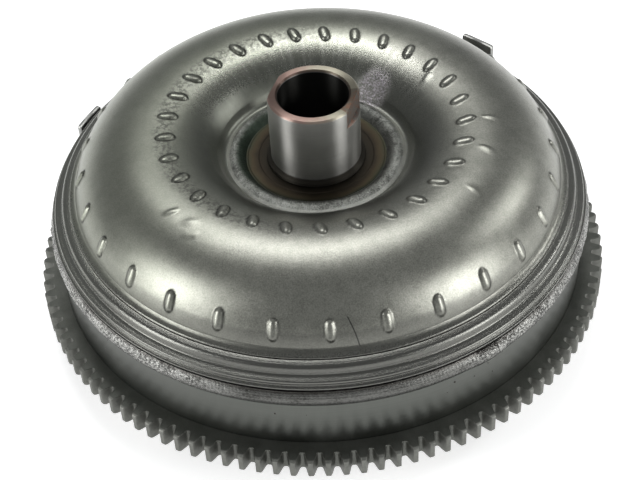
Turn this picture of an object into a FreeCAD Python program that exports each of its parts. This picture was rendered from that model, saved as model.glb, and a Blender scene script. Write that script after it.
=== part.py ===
import FreeCAD, Part
import math
import os

# Torque converter with a ring gear on its front cover.
# The axis is Z. z = 0 is the end of the crankshaft pilot, and the hub points up.

# ---- driving dimensions (mm) ----

# housing
cover_radius = 133.0          # outside of the front cover's wall
wall = 4.5                    # front cover sheet
face_z = 12.0                 # outer face of the front cover
cover_corner = 5.0            # outside radius between face and wall
seam_z = 58.0                 # plane where cover and impeller shell butt
spigot_length = 6.0
spigot_clearance = 0.05
spigot_wall = 3.85

# fluid torus
skirt_room = 11.6             # torus to cover wall, radially
torus_inner = 39.8            # inner side of the impeller shell's torus
torus_half_height = 38.2
torus_z = 66.8                # plane of the torus's middle
shell = 3.2                   # impeller shell sheet
turbine_sheet = 2.0
turbine_half_height = 35.0    # outside of the turbine shell
wheel_gap = 1.6               # between impeller and turbine at the torus's middle
core_half_width = 13.5
core_half_height = 12.0
core_sheet = 1.2
core_clearance = 1.5          # vanes and core rings to the stator's shroud
impeller_lean = -14.0         # sweep of an impeller vane from root to tip, degrees
turbine_lean = 26.0
vane_bow = 0.09               # bow of a vane, share of its chord

# rim of the impeller shell, from the seam up to the torus
groove_rise = 4.6             # seam to the groove over the weld
groove_depth = 1.0
groove_width = 1.4
ridge_proud = 0.2
ridge_width = 1.0
band_inset = 0.8              # rolled band above the ridge
band_top = 10.2               # its upper end above the seam
band_round = 2.6
shoulder_inset = 4.6          # shoulder between band and lip
shoulder_rise = 10.6
lip_outset = 1.9              # lip past the torus's widest point
lip_rise = 7.0                # lip above the torus's middle
lip_width = 0.8
throat_reach = 10.5           # torus end past the hub flange
throat_blend = 3.4

# blade tab bumps on the impeller shell
blade_count = 29
outer_bump_offset = 36.2      # from the torus's middle, outwards
inner_bump_offset = -8.0
outer_bump_start = -151.3     # azimuth of one bump, degrees
inner_bump_start = 183.1
outer_bump_run = 6.5          # straight part of a bump's length
inner_bump_run = 5.0
inner_bump_skew = 15.0        # degrees off the meridian
bump_round = 3.7
bump_proud = 1.2

# impeller hub
hub_radius = 22.2
hub_bore = 17.3
hub_end_z = 123.1
hub_chamfer = 0.9
collar_bevel = 0.6
hub_flange_radius = 38.0
hub_flange = 5.0
hub_flange_z = 84.8           # upper face of the flange
hub_collar = 2.0
hub_collar_height = 1.5
land_rise = 1.2               # shell land above the flange
flat_depth = 2.2              # drive flats at the hub's end
flat_height = 10.0
flat_azimuth = -21.0
hub_weld_width = 9.8
hub_weld_inner = 34.6
hub_weld_height = 2.3

# seam weld
seam_weld_up = 4.6
seam_weld_down = 5.0
seam_weld_proud = 2.3

# ring gear
gear_module = 2.54
gear_rim = 6.1                # ring below the tooth roots
gear_low_z = 16.0
gear_width = 11.0
gear_chamfer = 1.2
gear_phase = -149.0
root_half = 0.39              # half tooth at the root, flank foot and tip, share of the pitch
foot_half = 0.33
tip_half = 0.135
foot_rise = 0.5
gear_weld_count = 6
gear_weld_span = 24.0

# crankshaft pilot and drive plate pads
pilot_radius = 21.6
pilot_step = 1.4              # root past the pilot, in the cover's hole
pilot_land = 0.5              # shoulder below the weld
pilot_bore = 13.0
pilot_floor = 5.0
pilot_chamfer = 1.5
pilot_weld_leg = 3.5
pad_circle = 114.0
pad_count = 4
pad_azimuth = 45.0
pad_corner = 4.0
pad_length = 34.0
pad_width = 22.0
pad_height = 8.0
pad_thread_radius = 4.25
pad_weld_leg = 3.0
pad_weld_inset = 6.0          # weld's end inside the pad's end

# balance weights on the cover wall
weight_thickness = 2.3
weight_width = 19.0
weight_height = 25.0
weight_left_azimuth = 152.0
weight_left_top = 65.0
weight_right_azimuth = 47.3
weight_right_top = 73.0
weight_weld_leg = 4.0
weight_weld_share = 0.8       # of the weight's width
weight_weld_root = 1.5        # weld metal behind the weight's foot

# axial needle bearings
race = 1.0
needle_diameter = 2.0
needle_length = 8.0
needle_count = 24
cage_thickness = 1.3
bearing_inner = 24.0
bearing_outer = 35.0
cage_inset = 0.3
play = 0.05                   # running clearance on each side of moving pieces

# stator and one-way clutch
cap = 2.0
clutch_length = 16.4
clutch_track = 24.0           # outside of the inner race
clutch_wall = 5.9             # outer race behind the rollers
stator_bore = 15.6            # spline for the stator shaft
stator_spline_depth = 1.2
stator_spline_teeth = 30
roller_radius = 3.5
roller_count = 10
pocket_slack = 16.0           # pocket past the roller on the spring's side, degrees
land_gap = 4.6                # inner race to the outer race's lands
leaf = 0.3                    # energizing spring strip
leaf_folds = 5
shroud = 2.3
stator_blade_count = 19
stator_blade_thickness = 4.2
stator_blade_sweep = 13.0
stator_cast_lip = 0.6         # rim and shroud outside the torus and core lines
stator_blade_sink = 0.8       # blade root and tip inside rim and shroud
shroud_low = 0.5              # shroud's ends past the clutch
shroud_high = 2.0
blade_low = 1.5
blade_high = 1.0
wheel_lip = 0.4               # wheel below the snap ring
snap_ring_gap = 12.0          # open angle of the snap ring
snap_ring_inset = 1.4
cap_bore_room = 1.5           # cap's bore past the stator spline
pocket_margin = 0.6           # degrees past the roller
press = 0.01                  # outer race to wheel
ring_groove = 1.2             # snap ring groove depth in the wheel
snap_ring = 1.1

# turbine
turbine_blade_count = 31
blade_sheet = 0.9
turbine_flange_z = 46.0       # upper face of the shell's inner flange
turbine_hole = 36.0
turbine_hub_flange = 46.0
turbine_hub_flange_thickness = 4.5
rivet_circle = 41.0
rivet_count = 8
rivet_radius = 2.6
rivet_head = 4.2
rivet_head_height = 1.8
input_bore = 11.0             # spline for the input shaft
input_spline_depth = 1.0
input_spline_teeth = 24
journal_radius = 26.0
neck_height = 3.0             # cone between journal and flange
rivet_room = 1.0
washer = 1.2
washer_inner = 14.0
washer_inset = 1.0

# lock-up piston and damper
apply_gap = 1.0               # lining to cover when released
lining = 1.0
lining_inset = 4.5            # from the piston's rim
lining_width = 20.0
piston_room = 5.0             # piston's rim to the cover
piston_sheet = 2.5
piston_rise = 2.0             # inner web above the lining land
rim_rise = 0.7                # rim above the springs
sleeve_wall = 3.5
sleeve_length = 10.0
sleeve_drop = 1.0             # sleeve below the web
web_slope = 4.0               # width of the step between web and lining land
web_edge = 4.0                # lining land inside the retainer's edge
seal_rise = 2.0               # seal above the web's lower face
seal_clearance = 0.02
journal_clearance = 0.05
seal_height = 2.5
seal_depth = 2.5
spring_count = 10
spring_inset = 11.5           # spring circle inside the piston's rim
spring_radius = 5.2           # outside of a coil
spring_wire = 1.1
spring_turns = 9
spring_end_gap = 10.5         # degrees between one spring and the next
spring_clearance = 0.4
retainer_sheet = 1.5
retainer_reach = 20.0         # retainer's edge inside the spring circle
tang_width = 5.0
tang_depth = 7.0
stop_clearance = 0.9          # tang to the stops on either side
wall_room = 5.0               # springs to the retainer's wall
retainer_rivet_radius = 2.0
retainer_rivet_inset = 4.5
retainer_head = 1.4           # head past the shank
retainer_head_height = 1.2
band_inner = 7.0              # drive ring each side of the spring circle
band_outer = 5.0
drive_ring_sheet = 2.5

# ---- places worked out from the driving dimensions ----

torus_half_width = (cover_radius - skirt_room - torus_inner) / 2
torus_radius = cover_radius - skirt_room - torus_half_width
cover_bore = cover_radius - wall
cover_inside_z = face_z + wall
fluid_half_width = torus_half_width - shell
fluid_half_height = torus_half_height - shell
turbine_half_width = fluid_half_width + turbine_sheet
turbine_fluid_height = turbine_half_height - turbine_sheet
impeller_edge_z = torus_z + wheel_gap / 2
turbine_edge_z = torus_z - wheel_gap / 2
land_z = hub_flange_z + land_rise
hub_foot = hub_radius + hub_collar
pilot_root = pilot_radius + pilot_step
pilot_shoulder_z = face_z - pilot_weld_leg - pilot_land
gear_teeth = round(2 * (cover_radius + gear_rim) / gear_module + 2.5)
gear_tip = gear_module * (gear_teeth + 2) / 2
gear_root = gear_module * (gear_teeth - 2.5) / 2

# stack of the stator between the hub flange and the turbine hub, from the top
bearing = 2 * race + needle_diameter + 2 * play
stack_top = hub_flange_z - hub_flange
upper_cap_z = stack_top - bearing - play
clutch_top = upper_cap_z - cap
clutch_bottom = clutch_top - clutch_length
lower_cap_z = clutch_bottom - cap
turbine_seat_z = lower_cap_z - bearing - play
clutch_radius = clutch_track + 2 * play + 2 * roller_radius + clutch_wall
stator_rim = torus_radius - fluid_half_width + stator_cast_lip
shroud_inner = torus_radius - core_half_width - stator_cast_lip
shroud_outer = shroud_inner + shroud

# lock-up parts from the cover up
lining_z = cover_inside_z + apply_gap
piston_z = lining_z + lining
web_z = piston_z + piston_rise
piston_bore = journal_radius + journal_clearance
piston_rim = cover_bore - piston_room
piston_rim_height = piston_sheet + spring_clearance + 2 * spring_radius + rim_rise
lining_outer = piston_rim - lining_inset
lining_inner = lining_outer - lining_width
spring_circle = piston_rim - spring_inset
retainer_inner = spring_circle - retainer_reach
journal_z = cover_inside_z + washer + play
spring_z = piston_z + piston_sheet + spring_clearance + spring_radius
turbine_hub_flange_z = turbine_flange_z - turbine_sheet - turbine_hub_flange_thickness


# ---- shapes shared by several pieces ----

def at(radius, z):
    """Point of a section, in the XZ plane."""
    return FreeCAD.Vector(radius, 0, z)


def section(path):
    """Closed section face. (point, through) is an arc to a point, and (point, edge) a ready edge."""
    edges = []
    last = path[0]
    for step in path[1:] + [path[0]]:
        if not isinstance(step[0], tuple):
            end = step
            edges.append(Part.LineSegment(at(*last), at(*end)).toShape())
        elif isinstance(step[1], tuple):
            end, through = step
            edges.append(Part.Arc(at(*last), at(*through), at(*end)).toShape())
        else:
            end, edge = step
            edges.append(edge)
        last = end
    return Part.Face(Part.Wire(edges))


def turned(path, angle=360.0, start=0.0):
    """Solid of revolution about the Z axis."""
    body = section(path).revolve(at(0, 0), FreeCAD.Vector(0, 0, 1), angle)
    return spun(body, start)


def spun(body, angle):
    """Copy turned about the Z axis."""
    copy = body.copy()
    copy.rotate(FreeCAD.Vector(0, 0, 0), FreeCAD.Vector(0, 0, 1), angle)
    return copy


def ring(inner, outer, low, high):
    """Plain ring of rectangular section."""
    return turned([(inner, low), (outer, low), (outer, high), (inner, high)])


def disc(radius, low, high):
    """Plain disc on the axis."""
    return Part.makeCylinder(radius, high - low, FreeCAD.Vector(0, 0, low))


def round_pattern(body, count, start=0.0):
    """Copies of a piece, evenly spaced about the axis."""
    return [spun(body, start + 360.0 * i / count) for i in range(count)]


def oval_ring(half_width, half_height):
    """Solid ring whose section is an ellipse about the torus's middle."""
    ellipse = ellipse_curve(half_width, half_height)
    face = Part.Face(Part.Wire([ellipse.toShape()]))
    return face.revolve(at(0, 0), FreeCAD.Vector(0, 0, 1), 360)


def ellipse_curve(half_width, half_height):
    """Ellipse in the section plane; its parameter runs from the outside towards +Z."""
    middle = at(torus_radius, torus_z)
    if half_width >= half_height:
        side = at(torus_radius + half_width, torus_z)
        top = at(torus_radius, torus_z + half_height)
        return Part.Ellipse(side, top, middle)
    top = at(torus_radius, torus_z + half_height)
    side = at(torus_radius - half_width, torus_z)
    return Part.Ellipse(top, side, middle)


def ellipse_height(half_width, half_height, radius):
    """Height of an ellipse of the torus over its middle, at a radius."""
    share = (radius - torus_radius) / half_width
    return half_height * math.sqrt(1 - share * share)


def ellipse_reach(half_width, half_height, z):
    """Half width of an ellipse of the torus, at a height."""
    share = (z - torus_z) / half_height
    return half_width * math.sqrt(1 - share * share)


def ellipse_run(half_width, half_height, start, end):
    """Step of section() that follows an ellipse of the torus from one angle to another."""
    shift = 0 if half_width >= half_height else -90
    low = math.radians(min(start, end) + shift)
    high = math.radians(max(start, end) + shift)
    edge = Part.ArcOfEllipse(ellipse_curve(half_width, half_height), low, high).toShape()
    return (ellipse_point(half_width, half_height, end), edge)


def ellipse_angle_at_height(half_height, z):
    """Angle of the outer point of an ellipse of the torus at a height."""
    return math.degrees(math.asin((z - torus_z) / half_height))


def ellipse_angle_at_radius(half_width, radius):
    """Angle of the upper point of an ellipse of the torus at a radius."""
    return math.degrees(math.acos((radius - torus_radius) / half_width))


def ellipse_point(half_width, half_height, angle):
    """Point of an ellipse of the torus at an angle."""
    turn = math.radians(angle)
    return (torus_radius + half_width * math.cos(turn), torus_z + half_height * math.sin(turn))


def splined(inner, depth, teeth, low, high):
    """Core that cuts a straight sided spline into a bore."""
    points = []
    pitch = 2 * math.pi / teeth
    for i in range(teeth):
        middle = i * pitch
        for offset, radius in ((-0.30, inner), (-0.20, inner + depth), (0.20, inner + depth), (0.30, inner)):
            turn = middle + offset * pitch
            points.append(FreeCAD.Vector(radius * math.cos(turn), radius * math.sin(turn), low))
    points.append(points[0])
    face = Part.Face(Part.makePolygon(points))
    return face.extrude(FreeCAD.Vector(0, 0, high - low))


def save(node, shapes):
    """Write one node from a solid or a list of solids."""
    solids = shapes if isinstance(shapes, list) else [shapes]
    shape = solids[0] if len(solids) == 1 else Part.makeCompound(solids)
    shape.exportStep("parts/" + node + ".step")
    print(node, len(solids), round(sum(s.Volume for s in solids), 1), shape.isValid())


def only_solid(shape):
    """The solid of a boolean result that holds one."""
    return shape.Solids[0] if len(shape.Solids) == 1 else shape


# ---- housing, impeller side ----

def bump(radius, run, skew, azimuth):
    """Raised oval on the shell over a blade's tab: a rod with round ends, mostly sunk."""
    height = ellipse_height(torus_half_width, torus_half_height, radius)
    slope = -(radius - torus_radius) * torus_half_height ** 2 / (torus_half_width ** 2 * height)
    along = FreeCAD.Vector(1, 0, slope).normalize()
    outward = FreeCAD.Vector(-slope, 0, 1).normalize()
    centre = at(radius, torus_z + height) + outward * (bump_proud - bump_round)
    lead = FreeCAD.Rotation(outward, skew).multVec(along)
    start = centre - lead * (run / 2)
    end = centre + lead * (run / 2)
    rod = Part.makeCylinder(bump_round, run, start, lead)
    rod = rod.fuse([Part.makeSphere(bump_round, start), Part.makeSphere(bump_round, end)])
    return spun(rod, azimuth)


def impeller_rim():
    """Outer side of the shell's skirt: groove, ridge, rolled band, shoulder and lip."""
    edge = cover_radius
    groove = seam_z + groove_rise
    ridge = groove + groove_width
    band = ridge + ridge_width
    inset = edge - band_inset
    shoulder = (edge - shoulder_inset, seam_z + shoulder_rise)
    lip = (torus_radius + torus_half_width + lip_outset, torus_z + lip_rise)
    lip_top = (lip[0] - lip_width / 8, lip[1] + lip_width)
    foot = ellipse_angle_at_height(torus_half_height, lip[1] + 3 * lip_width)
    bulge = ((shoulder[0] + lip[0]) / 2 + lip_width, (shoulder[1] + lip[1]) / 2 + lip_width)
    return [
        (edge, seam_z),
        (edge, groove),
        (edge - groove_depth, groove + groove_width * 0.3),
        (edge - groove_depth, groove + groove_width * 0.7),
        (edge + ridge_proud, ridge),
        (edge, band - ridge_width * 0.2),
        (inset, band),
        (inset, band + band_inset),
        ((inset - band_round, seam_z + band_top), (inset - band_round * 0.27, seam_z + band_top - 0.8)),
        shoulder,
        (shoulder[0] - 0.2, shoulder[1] + lip_width),
        (lip, bulge),
        lip_top,
        (
            ellipse_point(torus_half_width, torus_half_height, foot),
            (lip_top[0] - 2 * lip_width, lip_top[1] + lip_width * 0.9),
        ),
    ]


def impeller_shell():
    """Pressed half torus with its skirt, throat land and the raised blade tab ovals."""
    path = impeller_rim()
    foot = ellipse_angle_at_height(torus_half_height, torus_z + lip_rise + 3 * lip_width)
    throat = hub_flange_radius + throat_reach
    inner_throat_z = land_z - shell
    top = ellipse_angle_at_radius(torus_half_width, throat)
    path.append(ellipse_run(torus_half_width, torus_half_height, foot, top))
    throat_z = ellipse_point(torus_half_width, torus_half_height, top)[1]
    bend = (throat - throat_blend * 0.44, land_z + (throat_z - land_z) * 0.3)
    path.append(((throat - throat_blend, land_z), bend))
    path.append((hub_flange_radius, land_z))
    path.append((hub_flange_radius, inner_throat_z))
    reach = ellipse_reach(fluid_half_width, fluid_half_height, inner_throat_z)
    inner_top = 180 - math.degrees(math.acos(reach / fluid_half_width))
    path.append((torus_radius - reach, inner_throat_z))
    edge_angle = ellipse_angle_at_height(fluid_half_height, impeller_edge_z)
    path.append(ellipse_run(fluid_half_width, fluid_half_height, inner_top, edge_angle))
    spigot = cover_bore - spigot_clearance
    inside = spigot - spigot_wall
    path += [
        (inside - 3.0, impeller_edge_z),
        (inside, impeller_edge_z - 3.0),
        (inside, seam_z - spigot_length),
        (spigot, seam_z - spigot_length),
        (spigot, seam_z),
    ]
    body = turned(path)
    core = oval_ring(torus_half_width - shell / 2, torus_half_height - shell / 2)
    outer_bump = bump(torus_radius + outer_bump_offset, outer_bump_run, 0.0, 0.0).cut(core)
    inner_bump = bump(torus_radius + inner_bump_offset, inner_bump_run, inner_bump_skew, 0.0).cut(core)
    bumps = round_pattern(outer_bump, blade_count, outer_bump_start)
    bumps += round_pattern(inner_bump, blade_count, inner_bump_start)
    return only_solid(body.fuse(bumps))


def impeller_hub():
    """Pump drive tube: wider foot, ground barrel and two milled drive flats at its end."""
    low = hub_flange_z - hub_flange
    end = hub_end_z
    path = [
        (hub_bore, low),
        (hub_foot, low),
        (hub_foot, hub_flange_z + hub_collar_height),
        (hub_radius, hub_flange_z + hub_collar_height + collar_bevel),
        (hub_radius, end - hub_chamfer),
        (hub_radius - hub_chamfer, end),
        (hub_bore + hub_chamfer, end),
        (hub_bore, end - hub_chamfer),
    ]
    body = turned(path)
    flat = Part.makeBox(2 * hub_radius, 2 * hub_radius, flat_height + 1.0)
    flat.translate(FreeCAD.Vector(hub_radius - flat_depth, -hub_radius, end - flat_height))
    return only_solid(body.cut(round_pattern(flat, 2, flat_azimuth)))


def hub_flange_ring():
    """Flange on the tube's foot."""
    return ring(hub_foot, hub_flange_radius, hub_flange_z - hub_flange, hub_flange_z)


def hub_weld():
    """Weld bead between the hub flange and the shell's land."""
    outer = hub_weld_inner + hub_weld_width
    crest = (hub_weld_inner + hub_weld_width * 0.5, land_z + hub_weld_height)
    return turned([
        (hub_flange_radius, hub_flange_z),
        (hub_flange_radius, land_z),
        (outer, land_z),
        ((hub_weld_inner, hub_flange_z), crest),
    ])


def fluid_space(half_width, half_height, low, high):
    """Blade passage between a shell and its core, between two planes."""
    space = oval_ring(half_width, half_height)
    space = space.cut(oval_ring(core_half_width, core_half_height))
    reach = torus_radius + half_width + 1.0
    return space.common(disc(reach, low, high))


def curved_sheet(inner, outer, lean, low, high):
    """Thin wall standing along Z whose plan is an arc from one radius to another."""
    turn = math.radians(lean)
    start = FreeCAD.Vector(inner * math.cos(turn), inner * math.sin(turn), low)
    end = FreeCAD.Vector(outer, 0, low)
    chord = end - start
    side = FreeCAD.Vector(-chord.y, chord.x, 0).normalize()
    middle = (start + end) * 0.5 + side * (vane_bow * chord.Length)
    half = blade_sheet / 2
    one = Part.Arc(start + side * half, middle + side * half, end + side * half)
    two = Part.Arc(end - side * half, middle - side * half, start - side * half)
    cap_a = Part.LineSegment(one.EndPoint, two.StartPoint)
    cap_b = Part.LineSegment(two.EndPoint, one.StartPoint)
    wire = Part.Wire([one.toShape(), cap_a.toShape(), two.toShape(), cap_b.toShape()])
    return Part.Face(wire).extrude(FreeCAD.Vector(0, 0, high - low))


def impeller_blades():
    """Curved sheet vanes between the impeller shell and its core ring."""
    high = torus_z + torus_half_height
    space = fluid_space(fluid_half_width, fluid_half_height, impeller_edge_z, high)
    space = space.cut(disc(shroud_outer + core_clearance, impeller_edge_z - 1, upper_cap_z + core_clearance))
    tip = torus_radius + torus_half_width
    sheet = curved_sheet(hub_flange_radius, tip, impeller_lean, impeller_edge_z, high)
    blade = only_solid(sheet.common(space))
    return round_pattern(blade, blade_count, outer_bump_start)


def core_half(low, high):
    """Half of the hollow core, between two planes, clear of the stator's shroud."""
    body = oval_ring(core_half_width, core_half_height)
    body = body.cut(oval_ring(core_half_width - core_sheet, core_half_height - core_sheet))
    body = body.common(disc(torus_radius + core_half_width + 1.0, low, high))
    return only_solid(body.cut(disc(shroud_outer + core_clearance, low - 1, high + 1)))


def impeller_core_ring():
    """Inner ring that ties the impeller vanes together."""
    return core_half(impeller_edge_z, torus_z + core_half_height + 1.0)


# ---- housing, engine side ----

def front_cover():
    """Deep pressed cover that carries the ring gear and the mounting pads."""
    inner_corner = cover_corner - wall * 0.4
    bow = math.sqrt(0.5)
    outer_mid = (
        cover_radius - cover_corner + cover_corner * bow,
        face_z + cover_corner - cover_corner * bow,
    )
    inner_mid = (
        cover_bore - inner_corner + inner_corner * bow,
        cover_inside_z + inner_corner - inner_corner * bow,
    )
    return turned([
        (pilot_root, face_z),
        (cover_radius - cover_corner, face_z),
        ((cover_radius, face_z + cover_corner), outer_mid),
        (cover_radius, seam_z),
        (cover_bore, seam_z),
        (cover_bore, cover_inside_z + inner_corner),
        ((cover_bore - inner_corner, cover_inside_z), inner_mid),
        (pilot_root, cover_inside_z),
    ])


def seam_weld():
    """Weld bead that closes the housing."""
    crest = (cover_radius + seam_weld_proud, seam_z - 0.2)
    low = (cover_radius, seam_z - seam_weld_down)
    high = (cover_radius, seam_z + seam_weld_up)
    return turned([low, (high, crest)])


def ring_gear():
    """Starter ring gear, shrunk onto the cover; its tooth ends are chamfered."""
    points = []
    pitch = 2 * math.pi / gear_teeth
    half = ((root_half, gear_root), (foot_half, gear_root + foot_rise), (tip_half, gear_tip))
    sides = [(-offset, radius) for offset, radius in half] + list(reversed(half))
    for i in range(gear_teeth):
        for offset, radius in sides:
            turn = math.radians(gear_phase) + (i + offset) * pitch
            points.append(FreeCAD.Vector(radius * math.cos(turn), radius * math.sin(turn), gear_low_z))
    points.append(points[0])
    body = Part.Face(Part.makePolygon(points)).extrude(FreeCAD.Vector(0, 0, gear_width))
    high = gear_low_z + gear_width
    blank = turned([
        (cover_radius, gear_low_z),
        (gear_tip - gear_chamfer, gear_low_z),
        (gear_tip + 0.1, gear_low_z + gear_chamfer * 0.6),
        (gear_tip + 0.1, high - gear_chamfer * 0.6),
        (gear_tip - gear_chamfer, high),
        (cover_radius, high),
    ])
    return only_solid(body.common(blank))


def ring_gear_welds(cover, gear):
    """Stitch welds under the gear, in the cover's corner."""
    leg = 0.75 * cover_corner
    bead = turned([
        (cover_radius - leg, gear_low_z - leg),
        (cover_radius + leg, gear_low_z),
        (cover_radius + leg, gear_low_z + 1.0),
        (cover_radius - leg, gear_low_z + 1.0),
    ], gear_weld_span)
    stitch = only_solid(bead.cut([cover, gear]))
    solids = []
    for piece in round_pattern(stitch, gear_weld_count, gear_phase):
        solids += [max(piece.Solids, key=lambda s: s.Volume)]
    return solids


def pilot_hub():
    """Crankshaft pilot: a blind turned boss whose wider root sits in the cover's centre hole."""
    return turned([
        (0, 0),
        (pilot_radius - pilot_chamfer, 0),
        (pilot_radius, pilot_chamfer),
        (pilot_radius, pilot_shoulder_z),
        (pilot_root, pilot_shoulder_z),
        (pilot_root, cover_inside_z),
        (pilot_bore, cover_inside_z),
        (pilot_bore, pilot_floor + 2.0),
        (pilot_bore - 3.0, pilot_floor),
        (0, pilot_floor),
    ])


def pilot_weld():
    """Fillet weld round the pilot on the cover's face."""
    return turned([
        (pilot_root, face_z - pilot_weld_leg),
        (pilot_root + pilot_weld_leg, face_z),
        (pilot_root, face_z),
    ])


def pad_block(length, width, low, high):
    """Block on the pad circle, its length along the tangent."""
    box = Part.makeBox(width, length, high - low)
    box.translate(FreeCAD.Vector(pad_circle - width / 2, -length / 2, low))
    return box


def mounting_pads():
    """Tapped pads for the drive plate bolts."""
    pad = pad_block(pad_length, pad_width, face_z - pad_height, face_z)
    upright = [e for e in pad.Edges if abs(e.BoundBox.ZLength - pad_height) < 1e-6]
    pad = pad.makeFillet(pad_corner, upright)
    place = FreeCAD.Vector(pad_circle, 0, face_z - pad_height)
    hole = Part.makeCylinder(pad_thread_radius, pad_height, place)
    return round_pattern(only_solid(pad.cut(hole)), pad_count, pad_azimuth)


def mounting_pad_welds():
    """Fillet welds along both long sides of each pad."""
    length = pad_length - 2 * pad_weld_inset
    beads = []
    for side in (-1, 1):
        foot = pad_circle + side * pad_width / 2
        points = [
            FreeCAD.Vector(foot, -length / 2, face_z),
            FreeCAD.Vector(foot + side * pad_weld_leg, -length / 2, face_z),
            FreeCAD.Vector(foot, -length / 2, face_z - pad_weld_leg),
        ]
        points.append(points[0])
        bead = Part.Face(Part.makePolygon(points)).extrude(FreeCAD.Vector(0, length, 0))
        beads += round_pattern(bead, pad_count, pad_azimuth)
    return beads


def weight_span():
    """Angle of a balance weight about the axis."""
    return math.degrees(weight_width / cover_radius)


def balance_weight(azimuth, top):
    """Rectangular steel plate that stands off the wall against the seam weld's crest."""
    inner = cover_radius + seam_weld_proud + play
    low = top - weight_height
    outer = inner + weight_thickness
    span = weight_span()
    return turned([(inner, low), (outer, low), (outer, top), (inner, top)], span, azimuth - span / 2)


def balance_weight_welds():
    """Welds that join the foot of each balance weight to the wall."""
    inner = cover_radius + seam_weld_proud + play
    span = weight_span() * weight_weld_share
    beads = []
    for azimuth, top in ((weight_left_azimuth, weight_left_top), (weight_right_azimuth, weight_right_top)):
        low = top - weight_height
        beads.append(turned([
            (cover_radius, low - weight_weld_leg),
            (inner + weight_thickness, low),
            (inner, low),
            (inner, low + weight_weld_root),
            (cover_radius, low + weight_weld_root),
        ], span, azimuth - span / 2))
    return beads


# ---- axial bearings ----

def bearing_race(z):
    """Flat race of a needle thrust bearing, from its lower face."""
    return ring(bearing_inner, bearing_outer, z, z + race)


def needle_row(low):
    """Needles of a thrust bearing, lying along radii."""
    middle = (bearing_inner + bearing_outer) / 2
    start = FreeCAD.Vector(middle - needle_length / 2, 0, low + needle_diameter / 2)
    needle = Part.makeCylinder(needle_diameter / 2, needle_length, start, FreeCAD.Vector(1, 0, 0))
    return round_pattern(needle, needle_count)


def needle_cage(low):
    """Pressed cage with a slot for each needle."""
    middle = (bearing_inner + bearing_outer) / 2
    base = low + (needle_diameter - cage_thickness) / 2
    body = ring(bearing_inner + cage_inset, bearing_outer - cage_inset, base, base + cage_thickness)
    slot = Part.makeBox(needle_length + 2 * play, needle_diameter + 2 * play, cage_thickness + 2)
    corner = FreeCAD.Vector(middle - needle_length / 2 - play, -needle_diameter / 2 - play, base - 1)
    slot.translate(corner)
    return only_solid(body.cut(round_pattern(slot, needle_count)))


# ---- stator and one-way clutch ----

def stator_blade():
    """Thick curved vane between the stator's rim and shroud."""
    low = clutch_bottom + blade_low
    high = clutch_top + blade_high
    half = stator_blade_sweep / 2
    middle = (low + high) / 2
    belly = stator_blade_thickness

    def place(side, z):
        return FreeCAD.Vector(stator_rim - 2 * stator_blade_sink, side, z)
    upper = Part.Arc(place(-half, low), place(belly * 1.2, middle - 1.0), place(half, high))
    lower = Part.Arc(place(half, high), place(belly * 0.2, middle - 2.0), place(-half, low))
    face = Part.Face(Part.Wire([upper.toShape(), lower.toShape()]))
    blade = face.extrude(FreeCAD.Vector(shroud_inner - stator_rim + 4 * stator_blade_sink, 0, 0))
    sink = stator_blade_sink
    return blade.common(ring(stator_rim - sink, shroud_inner + sink, low - 1, high + 1))


def stator_wheel():
    """Cast wheel: rim, curved vanes and outer shroud in one piece."""
    low = lower_cap_z - snap_ring - wheel_lip
    rim = ring(clutch_radius, stator_rim, low, upper_cap_z)
    band = ring(shroud_inner, shroud_outer, clutch_bottom + shroud_low, clutch_top + shroud_high)
    wheel = rim.fuse([band] + round_pattern(stator_blade(), stator_blade_count))
    groove = ring(clutch_radius - 1, clutch_radius + ring_groove, lower_cap_z - snap_ring, lower_cap_z)
    return only_solid(wheel.cut(groove))


def stator_snap_ring():
    """Open ring that holds the clutch in the wheel."""
    low = lower_cap_z - snap_ring + press
    high = lower_cap_z - press
    inner = clutch_radius - snap_ring_inset
    outer = clutch_radius + ring_groove - play
    path = [(inner, low), (outer, low), (outer, high), (inner, high)]
    return turned(path, 360.0 - snap_ring_gap, snap_ring_gap / 2)


def clutch_cap(low, bore):
    """Flat side plate of the one-way clutch."""
    return ring(bore, clutch_radius - play, low, low + cap)


def clutch_inner_race():
    """Inner race with the spline for the stator shaft."""
    low = clutch_bottom + play
    high = clutch_top - play
    body = disc(clutch_track, low, high)
    core = splined(stator_bore, stator_spline_depth, stator_spline_teeth, low - 1, high + 1)
    return only_solid(body.cut(core))


def roller_pitch():
    """Radius of the circle of rollers."""
    return clutch_track + play + roller_radius


def clutch_pocket(low, high):
    """Space in the outer race for one roller and its spring."""
    reach = clutch_track + 2 * play + 2 * roller_radius
    side = math.degrees((roller_radius + play * 2) / roller_pitch()) + pocket_margin
    path = [(clutch_track + 1, low), (reach, low), (reach, high), (clutch_track + 1, high)]
    return turned(path, side + pocket_slack, -side)


def clutch_outer_race():
    """Outer race with a pocket for each roller."""
    low = clutch_bottom + play
    high = clutch_top - play
    body = ring(clutch_track + land_gap, clutch_radius - press, low, high)
    return only_solid(body.cut(round_pattern(clutch_pocket(low - 1, high + 1), roller_count)))


def clutch_rollers():
    """Plain rollers of the one-way clutch."""
    start = FreeCAD.Vector(roller_pitch(), 0, clutch_bottom + 2 * play)
    roller = Part.makeCylinder(roller_radius, clutch_length - 4 * play, start)
    return round_pattern(roller, roller_count)


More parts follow.
